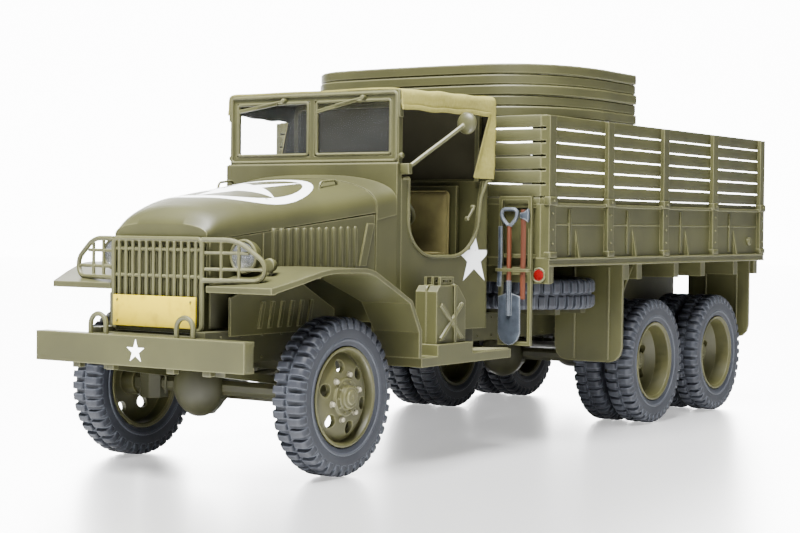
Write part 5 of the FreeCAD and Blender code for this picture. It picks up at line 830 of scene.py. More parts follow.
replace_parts(new_piece("lamp_glasses", lenses, clear_lens, "truck"), "headlamp_lenses")

CHEEK_OUTLINE = ((-85.2, 24.4), (-78.0, 24.4), (-78.0, 33.0), (-85.2, 32.6))
CHEEK_ACROSS, CHEEK_THICK, CHEEK_SOFT = 10.2, 0.4, 0.08
SHACKLE_INNER, SHACKLE_OUTER, SHACKLE_LINE, SHACKLE_FOOT, SHACKLE_TOP = 7.6, 11.0, -90.0, 22.6, 26.3
SHACKLE_BEND, SHACKLE_ROD = 1.7, 0.42
closing, shackles = bmesh.new(), bmesh.new()
for side in (-1, 1):
    plate_form(closing, CHEEK_OUTLINE, "x", side * CHEEK_ACROSS - CHEEK_THICK / 2, CHEEK_THICK, CHEEK_SOFT)
    bow = [(side * across, SHACKLE_LINE, height)
           for across, height in ((SHACKLE_INNER, SHACKLE_FOOT), (SHACKLE_INNER, SHACKLE_TOP),
                                  (SHACKLE_OUTER, SHACKLE_TOP), (SHACKLE_OUTER, SHACKLE_FOOT))]
    sweep_form(shackles, round_path(bow, SHACKLE_BEND), SHACKLE_ROD, up=(0, 1, 0))
cast_piece("radiator_cheeks", closing, "olive_chassis")
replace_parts(cast_piece("bent_shackles", shackles), "tow_shackles")

# Hood.  One thin pressed skin, bulged and narrowing to the nose, with a folded edge on each side.
# It lies loose on the louvred side panels; two wire grips, a thick ring and a star mark its top.
ARCH_POWER, ARCH_STEPS = 0.8, 48
HOOD_STATIONS = ((-85.6, 9.9, 39.1, 41.2), (-83.7, 10.4, 39.4, 43.6), (-79.1, 11.5, 40.0, 45.5),
                 (-50.7, 18.3, 44.0, 49.3))
HOOD_BEND, HOOD_FOLD, HOOD_SKIN, HOOD_SHARP, STATION_SLACK = 5.0, 0.7, 0.6, 40, 0.001
NOSE_STATION = (-85.6, 9.6, 39.0, 40.9, 38.45)
MARK_MIDDLE, MARK_RADIUS, RING_INNER, RING_OUTER, PRINT_BLUR = -0.0659, 0.0112, 0.011, 0.0128, 0.00004


def arch_ring(shape, along, half, seam, crown, foot):
    """A slice of hood or cowl with a flattened round crown and upright lower edges."""
    ring = [shape.verts.new((half, along, foot))]
    for step in range(ARCH_STEPS + 1):
        angle = math.pi * step / ARCH_STEPS
        across = math.copysign(abs(math.cos(angle)) ** ARCH_POWER, math.cos(angle))
        rise = max(math.sin(angle), 0.0) ** ARCH_POWER
        ring.append(shape.verts.new((half * across, along, seam + (crown - seam) * rise)))
    return ring + [shape.verts.new((-half, along, foot))]


def past(distance, limit):
    """Zero within a limit and one beyond it, smooth over a hair's width."""
    return distance.steps(limit - PRINT_BLUR, limit + PRINT_BLUR)


def star_share(across, along, radius):
    """One inside a five-pointed star whose tip points along."""
    reach = (across * across + along * along) ** 0.5
    sector = 2 * math.pi / 5
    turned = across.math("ARCTAN2", along) + (2 * math.pi + sector / 2)
    fold = (turned.math("MODULO", sector) - sector / 2).math("ABSOLUTE")
    return 1 - past(reach * (fold - sector).math("COSINE"), radius * math.cos(sector))


def hood_mark(paint):
    """White ring round a white star on the hood's top."""
    across, along = paint.axis("X"), paint.axis("Y") * -1 + MARK_MIDDLE
    reach = (across * across + along * along) ** 0.5
    ring = past(reach, RING_INNER) - past(reach, RING_OUTER)
    return ring.math("MAXIMUM", star_share(across, along, MARK_RADIUS))


def hood_seam(along):
    """Height of the hood's side seam, which runs straight between its stations."""
    for (start, _, low, _), (end, _, high, _) in zip(HOOD_STATIONS, HOOD_STATIONS[1:]):
        if along <= end + STATION_SLACK:
            return low + (high - low) * (along - start) / (end - start)


hood_paint = olive_paint("hood_paint", mark=hood_mark)
hood_top = bmesh.new()
hood_rings = []
crown_line = [(along, half, crown) for along, half, seam, crown in HOOD_STATIONS]
for along, half, crown in round_path(crown_line, HOOD_BEND, steps=8):
    seam = hood_seam(along)
    hood_rings.append(arch_ring(hood_top, along, half, seam, crown, seam - HOOD_FOLD))
skin(hood_top, hood_rings, closed_round=False)
nose = arch_ring(hood_top, *NOSE_STATION)
skin(hood_top, [hood_rings[0], nose], closed_round=False)
hood_top.faces.new(nose)
hood_top = worked(hood_top, ("SOLIDIFY", {"thickness": HOOD_SKIN, "offset": -1.0}))
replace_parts(new_piece("hood_skin", hood_top, hood_paint, "truck", HOOD_SHARP), "hood")

GRIP_PATH = ((11.3, -58.0, 46.6), (11.3, -57.6, 48.5), (11.6, -53.4, 48.9), (11.6, -53.0, 47.0))
GRIP_BEND, GRIP_ROD = 0.7, 0.22
LOUVRE_OUTLINE = ((-3.65, 0), (-3.6, 0.18), (-3.35, 0.3), (-2.8, 0.36), (2.6, 0.4), (3.2, 0.38), (3.5, 0.25),
                  (3.6, 0))
LOUVRE_COUNT, LOUVRE_START, LOUVRE_PITCH, LOUVRE_LEVEL, LOUVRE_CLIMB = 12, 13.45, 1.6, 36.85, 0.045
SEAM_RUNS, SEAM_PROUD, SEAM_ROD = ((11.3, 32.4, 39.6), (0.6, 32.4, 38.2)), 0.05, 0.14
nose_along, nose_half = HOOD_STATIONS[0][:2]
rear_along, rear_half = HOOD_STATIONS[-1][:2]
seam_turn = math.atan2(rear_half - nose_half, rear_along - nose_along)


def panel_spot(side, run, height, proud=0.0):
    """A place on a hood side, by its run back from the nose."""
    return (side * (nose_half + proud + run * math.sin(seam_turn)),
            nose_along + run * math.cos(seam_turn), height)


grips, louvre, louvres, panel_edges = bmesh.new(), bmesh.new(), [], bmesh.new()
lathe_form(louvre, LOUVRE_OUTLINE, axis="z", sides=16)
for side in (-1, 1):
    grip = [(side * across, along, height) for across, along, height in GRIP_PATH]
    sweep_form(grips, round_path(grip, GRIP_BEND), GRIP_ROD, up=(1, 0, 0))
    for step in range(LOUVRE_COUNT):
        run, height = LOUVRE_START + LOUVRE_PITCH * step, LOUVRE_LEVEL + LOUVRE_CLIMB * step
        louvres.append((panel_spot(side, run, height), (0, 0, 0)))
    for run, low, high in SEAM_RUNS:
        seam_line = [panel_spot(side, run, height, SEAM_PROUD) for height in (low, high)]
        sweep_form(panel_edges, seam_line, SEAM_ROD, up=(1, 0, 0))
cast_piece("hood_grips", grips)
cast_row("side_louvres", louvre, louvres)
cast_piece("panel_seams", panel_edges)

# Cab.  An open pressed tub with a rolled bead round each deep doorway, and behind the smooth cowl
# a folding screen of bent channel with two sashes, clear panes and wipers hung from its top.
SIDE_FRONT, SIDE_REAR, SIDE_HALF, SIDE_FLARE = -44.5, -20.7, 19.3, 4.0
STAR_ALONG, STAR_HEIGHT, STAR_RADIUS = -0.0252, 0.0352, 0.005


def side_spot(side, along, height, proud=0.0):
    """A place on the cab's flared side."""
    flare = SIDE_FLARE * (along - SIDE_FRONT) / (SIDE_REAR - SIDE_FRONT)
    return (side * (SIDE_HALF + flare + proud), along, height)


def door_mark(paint):
    """White star on the outer face of each side of the cab."""
    normal = paint.add("ShaderNodeNewGeometry", output="Normal")
    outward = paint.add("ShaderNodeVectorMath", {"operation": "MULTIPLY"}, {0: normal, 1: paint.place})
    outward = paint.add("ShaderNodeSeparateXYZ", None, {0: outward}, "X").steps(0.0, 0.01)
    return star_share(paint.axis("Y") - STAR_ALONG, paint.axis("Z") - STAR_HEIGHT, STAR_RADIUS) * outward


door_paint = olive_paint("door_paint", mark=door_mark)
nodes["cab_tub"].data.materials[0] = door_paint
COWL_FRONT, COWL_REAR = (-50.62, 18.33, 44.0, 49.33, 42.0), (-45.9, 19.33, 45.0, 50.03, 43.0)
COWL_SKIN = 0.08
cowl_skin = bmesh.new()
skin(cowl_skin, [arch_ring(cowl_skin, *COWL_FRONT), arch_ring(cowl_skin, *COWL_REAR)], closed_round=False)
cowl_skin = worked(cowl_skin, ("SOLIDIFY", {"thickness": COWL_SKIN, "offset": 1.0}))
cast_piece("cowl_skin", cowl_skin, sharp=HOOD_SHARP)

DOOR_CORNERS, DOOR_BEND = ((-42.7, 49.45), (-42.7, 35.6), (-25.1, 35.6), (-23.02, 49.5)), 6.5
DOOR_TAIL = ((-23.5, 46.3), (-21.9, 49.45))
BEAD_ROD, SILL_ROD, SILL_LEVEL, SILL_RUNS = 0.34, 0.3, 49.45, ((-44.3, -42.7), (-21.9, -20.9))
HANDLE_PATH = ((-27.6, 42.2), (-27.5, 42.6), (-26.1, 44.4), (-25.9, 44.9))
HANDLE_PROUD, HANDLE_ROD = 0.45, 0.26
BOSS_PLACES, BOSS_RADIUS, BOSS_TIP, BOSS_HEIGHT = ((-27.5, 42.5), (-26.0, 44.6)), 0.45, 0.4, 0.5
beads, handles = bmesh.new(), bmesh.new()
for side in (-1, 1):
    path = round_path([side_spot(side, *place) for place in DOOR_CORNERS], DOOR_BEND, steps=10)[:-1]
    sweep_form(beads, path + [side_spot(side, *place) for place in DOOR_TAIL], BEAD_ROD, up=(1, 0, 0))
    for run in SILL_RUNS:
        sweep_form(beads, [side_spot(side, along, SILL_LEVEL) for along in run], SILL_ROD)
    handle = [side_spot(side, *place, HANDLE_PROUD) for place in HANDLE_PATH]
    sweep_form(handles, handle, HANDLE_ROD, up=(1, 0, 0))
    for place in BOSS_PLACES:
        boss = [(0, 0), (0, BOSS_RADIUS), (side * BOSS_HEIGHT, BOSS_TIP), (side * BOSS_HEIGHT, 0)]
        lathe_form(handles, boss, side_spot(side, *place), "x", 12)
cast_piece("door_beads", beads)
cast_piece("door_handles", handles)

SCREEN_LINE, SCREEN_HALF, SCREEN_LOW, SCREEN_HIGH = -45.15, 18.6, 52.5, 64.5
SCREEN_BEND, SCREEN_ROD = 0.6, 0.34
SASH_LINE, SASH_INNER, SASH_OUTER, SASH_LOW, SASH_HIGH, SASH_BEND, SASH_ROD = (
    -44.95, 0.95, 17.25, 53.75, 63.25, 0.5, 0.33)
PIN_SPOT, PIN_LEVELS = (18.9, -44.5), (53.4, 62.8)
PIN_OUTLINE = ((0, 0), (0, 0.55), (0.5, 0.55), (0.7, 0.4), (0.7, 0))
STAY_INNER, STAY_OUTER, STAY_LOW, STAY_HIGH = 18.85, 19.35, (-45.3, 60.2), (-44.0, 64.9)
SILL_HALF, SILL_HEIGHT = 19.2, 51.75
SILL_SECTION = ((0.45, -0.2), (0.45, 0.25), (0.2, 0.5), (-0.2, 0.5), (-0.45, 0.25), (-0.45, -0.2))
screen = bmesh.new()
screen_frame = frame_path(SCREEN_LINE, (-SCREEN_HALF, SCREEN_LOW), (SCREEN_HALF, SCREEN_HIGH), SCREEN_BEND)
sweep_form(screen, screen_frame, SCREEN_ROD, closed=True, up=(0, 1, 0))
for side in (-1, 1):
    sash = frame_path(SASH_LINE, (side * SASH_INNER, SASH_LOW), (side * SASH_OUTER, SASH_HIGH), SASH_BEND)
    sweep_form(screen, sash, SASH_ROD, closed=True, up=(0, 1, 0))
    for height in PIN_LEVELS:
        pin = [(side * out, radius) for out, radius in PIN_OUTLINE]
        lathe_form(screen, pin, (side * PIN_SPOT[0], PIN_SPOT[1], height), "x", 16)
    side_block(screen, side, STAY_INNER, STAY_OUTER, STAY_LOW, STAY_HIGH)
sweep_form(screen, [(side * SILL_HALF, SCREEN_LINE, SILL_HEIGHT) for side in (-1, 1)], SILL_SECTION)
cast_piece("screen_beads", screen)

WIPER_ENDS = (((-16.4, 62.0), (-7.6, 63.2)), ((1.5, 61.5), (10.2, 63.3)))
BLADE_LINE, ARM_LINE, KNOB_LINE, ARM_RISE, ARM_ROD = -45.7, -46.0, -45.3, 0.2, 0.16
KNOB_SHIFT, KNOB_RISE, KNOB_ARM_LINE = 1.4, 0.45, -45.9
BLADE_SECTION = ((0.32, -0.12), (0.32, 0.12), (-0.32, 0.2), (-0.32, -0.2))
KNOB_OUTLINE = ((-0.75, 0), (-0.7, 0.35), (-0.5, 0.5), (0.3, 0.55), (0.3, 0))
wipers = bmesh.new()
for start, end in WIPER_ENDS:
    blade = [(across, BLADE_LINE, height) for across, height in (start, end)]
    sweep_form(wipers, blade, BLADE_SECTION)
    middle = ((start[0] + end[0]) / 2, ARM_LINE, (start[1] + end[1]) / 2 + ARM_RISE)
    knob_across, knob_height = end[0] + KNOB_SHIFT, end[1] + KNOB_RISE
    sweep_form(wipers, [middle, (knob_across, KNOB_ARM_LINE, knob_height)], ARM_ROD)
    lathe_form(wipers, KNOB_OUTLINE, (knob_across, KNOB_LINE, knob_height), "y", 16)
cast_piece("screen_wipers", wipers)
GLASS_DARK = (0.04, 0.042, 0.042, 1)
glass_paint = Paint("screen_glass")
glass_haze = glass_paint.noise(120.0, 3.0)
glass = nodes["windscreen_glass"]
glass.data.materials.clear()
glass.data.materials.append(glass_paint.finish({
    "Base Color": GLASS_DARK, "Roughness": 0.03 + glass_haze * 0.04, "Alpha": 0.08 + glass_haze * 0.04}))

MIRROR_SPOT, MIRROR_ARM_ROD = (27.4, -36.3, 59.3), 0.4
MIRROR_ARM = ((20.2, -44.4, 51.0), (22.6, -41.7, 53.8), (25.0, -39.0, 56.5), (27.3, -36.4, 59.2))
MIRROR_SHELL = ((-0.6, 0), (-0.55, 0.7), (-0.4, 1.3), (-0.1, 1.75), (0.2, 1.95), (0.38, 1.95), (0.42, 1.85),
                (0.34, 1.75), (0.3, 0))
MIRROR_FACE = ((0.3, 0), (0.32, 1.74), (0.36, 1.7), (0.4, 0))
BRACKET_LOW, BRACKET_HIGH, BRACKET_SOFT = (19.35, -45.1, 50.1), (21.2, -43.9, 52.0), 0.2
mirror, mirror_glass = bmesh.new(), bmesh.new()
sweep_form(mirror, MIRROR_ARM, MIRROR_ARM_ROD, up=(1, 0, 0))
lathe_form(mirror, MIRROR_SHELL, MIRROR_SPOT, "y", 40)
box_form(mirror, BRACKET_LOW, BRACKET_HIGH, BRACKET_SOFT)
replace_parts(cast_piece("mirror_and_arm", mirror), "mirror")
lathe_form(mirror_glass, MIRROR_FACE, MIRROR_SPOT, "y", 40)
new_piece("mirror_glass", mirror_glass, silver, "truck")

WHEEL_MIDDLE, WHEEL_AXIS = Vector((10.6, -36.7, 44.5)), Vector((0, 0.643, 0.766))
RIM_RADIUS, RIM_ROD, SPOKE_COUNT, SPOKE_REACH, SPOKE_SINK = 5.4, 0.4, 3, 5.3, 0.2
SPOKE_SECTION = ((0.2, -0.35), (0.2, 0.35), (-0.2, 0.3), (-0.2, -0.3))
COLUMN_OUTLINE = ((0.55, 0), (0.5, 0.6), (0.2, 0.9), (-0.4, 0.95), (-0.6, 0.7), (-0.7, 0.45), (-19.6, 0.45),
                  (-19.6, 0))
steering = bmesh.new()
rim = [(RIM_ROD * math.sin(math.pi * step / 5), RIM_RADIUS + RIM_ROD * math.cos(math.pi * step / 5))
       for step in range(10)]
lathe_form(steering, rim, axis="z", sides=56, closed=True)
for step in range(SPOKE_COUNT):
    angle = math.pi / 2 + 2 * math.pi * step / SPOKE_COUNT
    spoke = [(0, 0, -SPOKE_SINK), (SPOKE_REACH * math.cos(angle), SPOKE_REACH * math.sin(angle), 0)]
    sweep_form(steering, spoke, SPOKE_SECTION)
lathe_form(steering, COLUMN_OUTLINE, axis="z", sides=20)
wheel_tilt = WHEEL_AXIS.to_track_quat("Z", "Y").to_matrix().to_4x4()
bmesh.ops.transform(steering, matrix=Matrix.Translation(WHEEL_MIDDLE) @ wheel_tilt, verts=steering.verts)
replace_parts(cast_piece("steering_and_column", steering, "olive_chassis"), "steering_wheel")

LEVERS = ((1.2, -38.5, 3.4), (-1.6, -37.6, 2.4))
LEVER_FOOT, LEVER_WAIST, LEVER_TOP, LEVER_BACK = 23.0, 33.0, 40.0, 2
LEVER_BEND, LEVER_ROD, LEVER_BALL = 3.0, 0.28, ((-0.6, 0), (-0.4, 0.5), (0, 0.65), (0.4, 0.5), (0.6, 0))
BALL_LEVEL = 40.2
PEDALS, PEDAL_HALF, PEDAL_SOFT = (7.4, 10.0, 12.6), 0.7, 0.15
PEDAL_LOW, PEDAL_HIGH = (-44.0, 27.0), (-43.6, 28.8)
PEDAL_ARM, PEDAL_ROD = ((-43.8, 28.0), (-45.2, 31.0)), 0.2
DIALS, DIAL_SPOT = ((-2.6, 1.3), (0.4, 1.3), (3.4, 1.0), (-5.2, 0.8)), (-44.4, 47.6)
DIAL_FOOT, DIAL_WALL, DIAL_RIM, DIAL_FACE = -0.2, 0.15, 0.3, 0.1
controls = bmesh.new()
for across, along, lean in LEVERS:
    knob = (across, along + lean, LEVER_TOP)
    lever = [(across, along - LEVER_BACK, LEVER_FOOT), (across, along, LEVER_WAIST), knob]
    sweep_form(controls, round_path(lever, LEVER_BEND), LEVER_ROD, up=(1, 0, 0))
    lathe_form(controls, LEVER_BALL, (across, along + lean, BALL_LEVEL), "z", 16)
for across in PEDALS:
    box_form(controls, (across - PEDAL_HALF, *PEDAL_LOW), (across + PEDAL_HALF, *PEDAL_HIGH), PEDAL_SOFT)
    sweep_form(controls, [(across, *place) for place in PEDAL_ARM], PEDAL_ROD, up=(1, 0, 0))
for across, radius in DIALS:
    dial = [(DIAL_FOOT, 0), (DIAL_FOOT, radius), (DIAL_WALL, radius), (DIAL_RIM, radius * 0.9),
            (DIAL_FACE, radius * 0.8), (DIAL_FACE, 0)]
    lathe_form(controls, dial, (across, *DIAL_SPOT), "y", 28)
cast_piece("cab_controls", controls, "olive_chassis")

# Seats.  Four pads of duck cloth over foam, sewn round their edges with a piped seam, rest on the
# steel seat boxes and back plates.  Each is blown up as cloth, so its faces are crowned.
CLOTH, CLOTH_STAINED, CLOTH_DEPTH = (0.06, 0.052, 0.018, 1), (0.04, 0.034, 0.012, 1), 0.00003
cloth = Paint("seat_cloth")
cloth_weave = cloth.noise(2400.0, 2.0, 0.6, (1.0, 1.0, 1.0))
cloth_stain = cloth.noise(200.0, 4.0).steps(0.35, 0.75)
seat_cloth = cloth.finish({
    "Base Color": cloth.blend(cloth_stain, CLOTH, CLOTH_STAINED),
    "Roughness": 0.8 + cloth_weave * 0.1}, cloth_weave, CLOTH_DEPTH, 0.5)
PAD_SCALE, PAD_INSET, PAD_SWELL, PAD_SOFT, PAD_CELL, PAD_MOMENTS = 0.1, 0.22, 0.24, 0.45, 0.045, 20


def blown_up(shape):
    """Push the points of a closed cloth shape outwards by pressure, up to the pad's swell."""
    start = [vert.co.copy() for vert in shape.verts]
    mesh = bpy.data.meshes.new("pad")
    shape.to_mesh(mesh)
    pad = held(mesh)
    swell = pad.modifiers.new("swell", "CLOTH")
    swell.settings.use_pressure = True
    swell.settings.uniform_pressure_force = 4.0
    swell.settings.effector_weights.gravity = 0.0
    swell.point_cache.frame_end = PAD_MOMENTS
    for moment in range(1, PAD_MOMENTS + 1):
        scene.frame_set(moment)
    blown = pad.evaluated_get(bpy.context.evaluated_depsgraph_get()).to_mesh()
    reach = PAD_SWELL * PAD_SCALE
    for vert, place, target in zip(shape.verts, start, blown.vertices):
        move = target.co - place
        vert.co = place + (move * (reach / move.length) if move.length > reach else move)
    scene.frame_set(1)
    bpy.data.objects.remove(pad)


def stuffed(low, high):
    """A pad between two corners: a smaller block, remeshed and blown up as cloth, in millimetres."""
    shape = bmesh.new()
    box_form(shape, [value + PAD_INSET for value in low], [value - PAD_INSET for value in high], PAD_SOFT)
    bmesh.ops.scale(shape, vec=(PAD_SCALE,) * 3, verts=shape.verts)
    shape = worked(shape, ("REMESH", {"mode": "VOXEL", "voxel_size": PAD_CELL}))
    blown_up(shape)
    shape = worked(shape, ("SMOOTH", {"factor": 0.5, "iterations": 4}),
                   ("SUBSURF", {"levels": 1, "render_levels": 1}))
    bmesh.ops.scale(shape, vec=(1 / PAD_SCALE,) * 3, verts=shape.verts)
    return shape


SEAT_INNER, SEAT_OUTER, PIPING_INSET, PIPING_BEND, PIPING_ROD, CLOTH_SHARP = 3.9, 17.3, 0.35, 0.8, 0.15, 60
CUSHION_LOW, CUSHION_HIGH, CUSHION_SEAM = (-34.4, 33.3), (-25.9, 36.3), 36.0
REST_LOW, REST_HIGH, REST_SEAM, REST_FOOT, REST_TOP = (-25.6, 33.3), (-24.0, 48.0), -25.45, 33.7, 47.6
pads = []
for side, word in SIDES[::-1]:
    near, far = sorted((side * SEAT_INNER, side * SEAT_OUTER))
    inner, outer = near + PIPING_INSET, far - PIPING_INSET
    front, rear = CUSHION_LOW[0] + PIPING_INSET, CUSHION_HIGH[0] - PIPING_INSET
    cushion_seam = [(inner, front, CUSHION_SEAM), (outer, front, CUSHION_SEAM), (outer, rear, CUSHION_SEAM),
                    (inner, rear, CUSHION_SEAM)]
    cushion_seam = round_path(cushion_seam, PIPING_BEND, closed=True)
    rest_seam = frame_path(REST_SEAM, (inner, REST_FOOT), (outer, REST_TOP), PIPING_BEND)
    for kind, low, high, seam_path, up in (("seat", CUSHION_LOW, CUSHION_HIGH, cushion_seam, (0, 0, 1)),
                                           ("back", REST_LOW, REST_HIGH, rest_seam, (0, 1, 0))):
        pad = stuffed((near, *low), (far, *high))
        sweep_form(pad, seam_path, PIPING_ROD, closed=True, up=up)
        piece = new_piece(f"{kind}_pad_{word}", pad, seat_cloth, "truck", CLOTH_SHARP)
        pads.append(piece)
for piece in pads:
    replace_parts(piece, "seat_cushions")

# Canvas cab top.  One sheet of tan duck is stretched from the screen over the rear bow and laced
# down behind the seats.  Its hems are doubled, and it sags a little between screen and bow.
# The faces that look in towards the cab are painted much darker than the cloth: painted shade under the roof.
CANVAS, CANVAS_STAINED = (0.082, 0.074, 0.017, 1), (0.056, 0.05, 0.012, 1)
CANVAS_PALE = (0.12, 0.11, 0.036, 1)
CANVAS_SHADED_INSIDE, CAB_MIDDLE, WEAVE_DEPTH = (0.012, 0.011, 0.005, 1), (0, -0.033, 0.055), 0.00004
canvas = Paint("tan_canvas")
weave_across = canvas.noise(1500.0, 1.0, 0.5, (3.0, 0.35, 1.0))
weave_along = canvas.noise(1500.0, 1.0, 0.5, (0.35, 3.0, 1.0))
weave = weave_across * 0.5 + weave_along * 0.5
stain = canvas.noise(70.0, 5.0).steps(0.35, 0.75)
canvas_colour = canvas.blend(stain, CANVAS, CANVAS_STAINED)
canvas_colour = canvas.blend(weave.steps(0.35, 0.7) * 0.4, canvas_colour, CANVAS_PALE)
from_middle = canvas.add("ShaderNodeVectorMath", {"operation": "SUBTRACT"}, {0: canvas.place, 1: CAB_MIDDLE})
outward = canvas.add("ShaderNodeVectorMath", {"operation": "DOT_PRODUCT"},
                     {0: canvas.add("ShaderNodeNewGeometry", output="Normal"), 1: from_middle}, "Value")
# Inward faces take the dark colour: painted shade, not a colour of the duck.
tan_canvas = canvas.finish({
    "Base Color": canvas.blend(outward.steps(-0.001, 0.001), CANVAS_SHADED_INSIDE, canvas_colour),
    "Roughness": 0.85 + stain * 0.08}, weave, WEAVE_DEPTH, 0.6)
TOP_FRONT, TOP_REAR, TOP_LEVEL, SKIRT_LEVEL, FOOT_LEVEL = -45.0, -19.6, 65.35, 61.6, 49.9
ROOF_HALF, ROOF_FLARE, FLAP_WIDTH, FLAP_GROWTH = 19.75, 4.0, 2.0, 4.4
SAG, SAG_START, SAG_RUN, PINCH, PANEL_BULGE, CANVAS_THICK = 0.75, -44.4, 22.2, 0.18, 0.25, 0.32
RUN_STEPS, QUARTER_STEPS, FOOT_STEPS = 34, 6, 16
SKIRT_ROWS = ((1.0, 61.6), (1.0, 62.6), (1.0, 63.7), (0.998, 64.4), (0.985, 64.95), (0.955, 65.25))
ROOF_ROWS = [(0.9 - 0.1 * step, TOP_LEVEL) for step in range(19)]
OVER_ROWS = list(SKIRT_ROWS) + ROOF_ROWS + [(-share, height) for share, height in SKIRT_ROWS[::-1]]


def roof_half(along, clear=0.0):
    """Half the roof's width, which grows to the rear with the cab."""
    return ROOF_HALF + clear + ROOF_FLARE * (along - TOP_FRONT) / (TOP_REAR - TOP_FRONT)


def crease(along, across, height):
    """Small folds that run out from the corners of the stretched cloth."""
    return (0.09 * math.sin(along * 0.9 + across * 0.35)
            + 0.07 * math.sin(along * 0.37 - height * 1.1 + across * 0.2))


def roof_spot(along, share, height):
    """A place on the roof and its skirts, by its share of the half width."""
    span = math.sin(math.pi * min(max((along - SAG_START) / SAG_RUN, 0), 1))
    half = roof_half(along)
    sag = SAG * span * (1 - share * share) if height == TOP_LEVEL else 0.0
    pinch = -PINCH * span * (65 - height) / 4 if height < 64 else 0.0
    across = math.copysign(half * abs(share) + pinch, share) if share else 0.0
    return across, along, height - sag + crease(along, share * half, height) * (0.6 + 0.4 * span)


roof = bmesh.new()
runs = [TOP_FRONT + (TOP_REAR - FLAP_WIDTH - TOP_FRONT) * step / RUN_STEPS for step in range(RUN_STEPS)]
runs += [TOP_REAR - FLAP_WIDTH * (1 - step / QUARTER_STEPS) for step in range(QUARTER_STEPS + 1)]
over = [[roof.verts.new(roof_spot(along, *place)) for place in OVER_ROWS] for along in runs]
skin(roof, over, closed_round=False)
edges = {}
for side, index in ((1, 0), (-1, len(OVER_ROWS) - 1)):
    rows = [[over[RUN_STEPS + step][index] for step in range(QUARTER_STEPS + 1)]]
    for row in range(1, FOOT_STEPS + 1):
        drop = row / FOOT_STEPS
        flap_level = SKIRT_LEVEL + (FOOT_LEVEL - SKIRT_LEVEL) * drop
        start = TOP_REAR - FLAP_WIDTH - FLAP_GROWTH * drop
        flap = [start + (TOP_REAR - start) * step / QUARTER_STEPS for step in range(QUARTER_STEPS + 1)]
        spots = [(side * (roof_half(along) + crease(along, 20.0, flap_level)), along, flap_level)
                 for along in flap]
        rows.append([roof.verts.new(spot) for spot in spots])
    skin(roof, rows, closed_round=False)
    column = [over[-1][index + side * step] for step in range(5, -1, -1)]
    edges[side] = column + [row[-1] for row in rows[1:]]
roof_edge = over[-1][5:len(OVER_ROWS) - 5]
panel = [roof_edge]
for left, right_edge in zip(edges[1][1:], edges[-1][1:]):
    row = [left]
    for step in range(1, len(roof_edge) - 1):
        share = step / (len(roof_edge) - 1)
        spot = left.co.lerp(right_edge.co, share)
        spot.y += PANEL_BULGE * math.sin(math.pi * share) + crease(spot.z, spot.x, 0)
        row.append(roof.verts.new(spot))
    panel.append(row + [right_edge])
skin(roof, panel, closed_round=False)
roof = worked(roof, ("SUBSURF", {"levels": 1, "render_levels": 1}),
              ("SOLIDIFY", {"thickness": CANVAS_THICK, "offset": -1.0}))
HEM_CLEAR, HEM_LEVEL, FLAP_LINE = 0.03, 61.75, ((-21.7, 61.6), (-23.2, 57.6), (-24.6, 53.7), (-25.9, 50.1))
HEM_SECTION = ((0.55, -0.1), (0.55, 0.14), (0.3, 0.2), (-0.15, 0.2), (-0.3, 0.1), (-0.3, -0.1))
FLAP_SECTION = ((0.1, -0.3), (0.2, 0.15), (0.15, 0.45), (-0.1, 0.3), (-0.1, -0.3))
hem = bmesh.new()
for side in (-1, 1):
    line = [(side * roof_half(along, HEM_CLEAR), along, HEM_LEVEL + crease(along, side * 20.0, SKIRT_LEVEL))
            for along in runs[:-QUARTER_STEPS]]
    sweep_form(hem, line, HEM_SECTION)
    sweep_form(hem, [(side * roof_half(along, HEM_CLEAR), along, height) for along, height in FLAP_LINE],
               FLAP_SECTION, up=(1, 0, 0))
hem_piece = new_piece("canvas_hem", hem, tan_canvas, "truck", CLOTH_SHARP)
canvas_top = new_piece("canvas_top", roof, tan_canvas, "truck", CLOTH_SHARP)
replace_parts(canvas_top, "cab_canvas_top")

# Left side.  The fuel can is pressed from two halves with a cross on its face and strapped in its
# tray.  Behind the cab a shovel, an axe and a pick head hang in a rack of steel angle.
CROSS_FACE, CROSS_RADIUS = 27.0, 0.42
CROSS_RUNS = (((-43.4, 21.4), (-36.4, 27.4)), ((-36.4, 21.4), (-43.4, 27.4)))
WELT_LINE, WELT_BEND, WELT_ROD = 24.8, 0.8, 0.2
WELT_CORNERS = ((-44.6, 19.3), (-35.2, 19.3), (-35.2, 28.1), (-37.8, 30.7), (-44.6, 30.7))
STRAP_LINE, STRAP_CORNERS, STRAP_BEND = -39.0, ((27.3, 19.6), (27.3, 30.85), (22.4, 30.85), (22.4, 19.6)), 0.5
STRAP_SECTION = ((0.35, -0.08), (0.35, 0.1), (-0.35, 0.1), (-0.35, -0.08))
CAP_OUTLINE = ((-0.3, 0), (-0.3, 0.9), (0.5, 0.9), (0.55, 1.15), (1.0, 1.15), (1.15, 1.0), (1.15, 0))
CAP_SPOT, CAP_LEAN = (24.8, -36.6, 29.5), -math.pi / 4
can, cap = bmesh.new(), bmesh.new()
for run in CROSS_RUNS:
    sweep_form(can, [(CROSS_FACE, *place) for place in run], CROSS_RADIUS, up=(1, 0, 0))
welt = round_path([(WELT_LINE, *place) for place in WELT_CORNERS], WELT_BEND, closed=True)
sweep_form(can, welt, WELT_ROD, closed=True, up=(1, 0, 0))
can_strap = [(across, STRAP_LINE, height) for across, height in STRAP_CORNERS]
sweep_form(can, round_path(can_strap, STRAP_BEND), STRAP_SECTION, up=(0, 1, 0))
lathe_form(cap, CAP_OUTLINE, axis="z", sides=24)
cap_place = Matrix.Translation(CAP_SPOT) @ Matrix.Rotation(CAP_LEAN, 4, "X")
bmesh.ops.transform(cap, matrix=cap_place, verts=cap.verts)
cast_piece("can_ribs", can)
cast_piece("can_cap", cap)

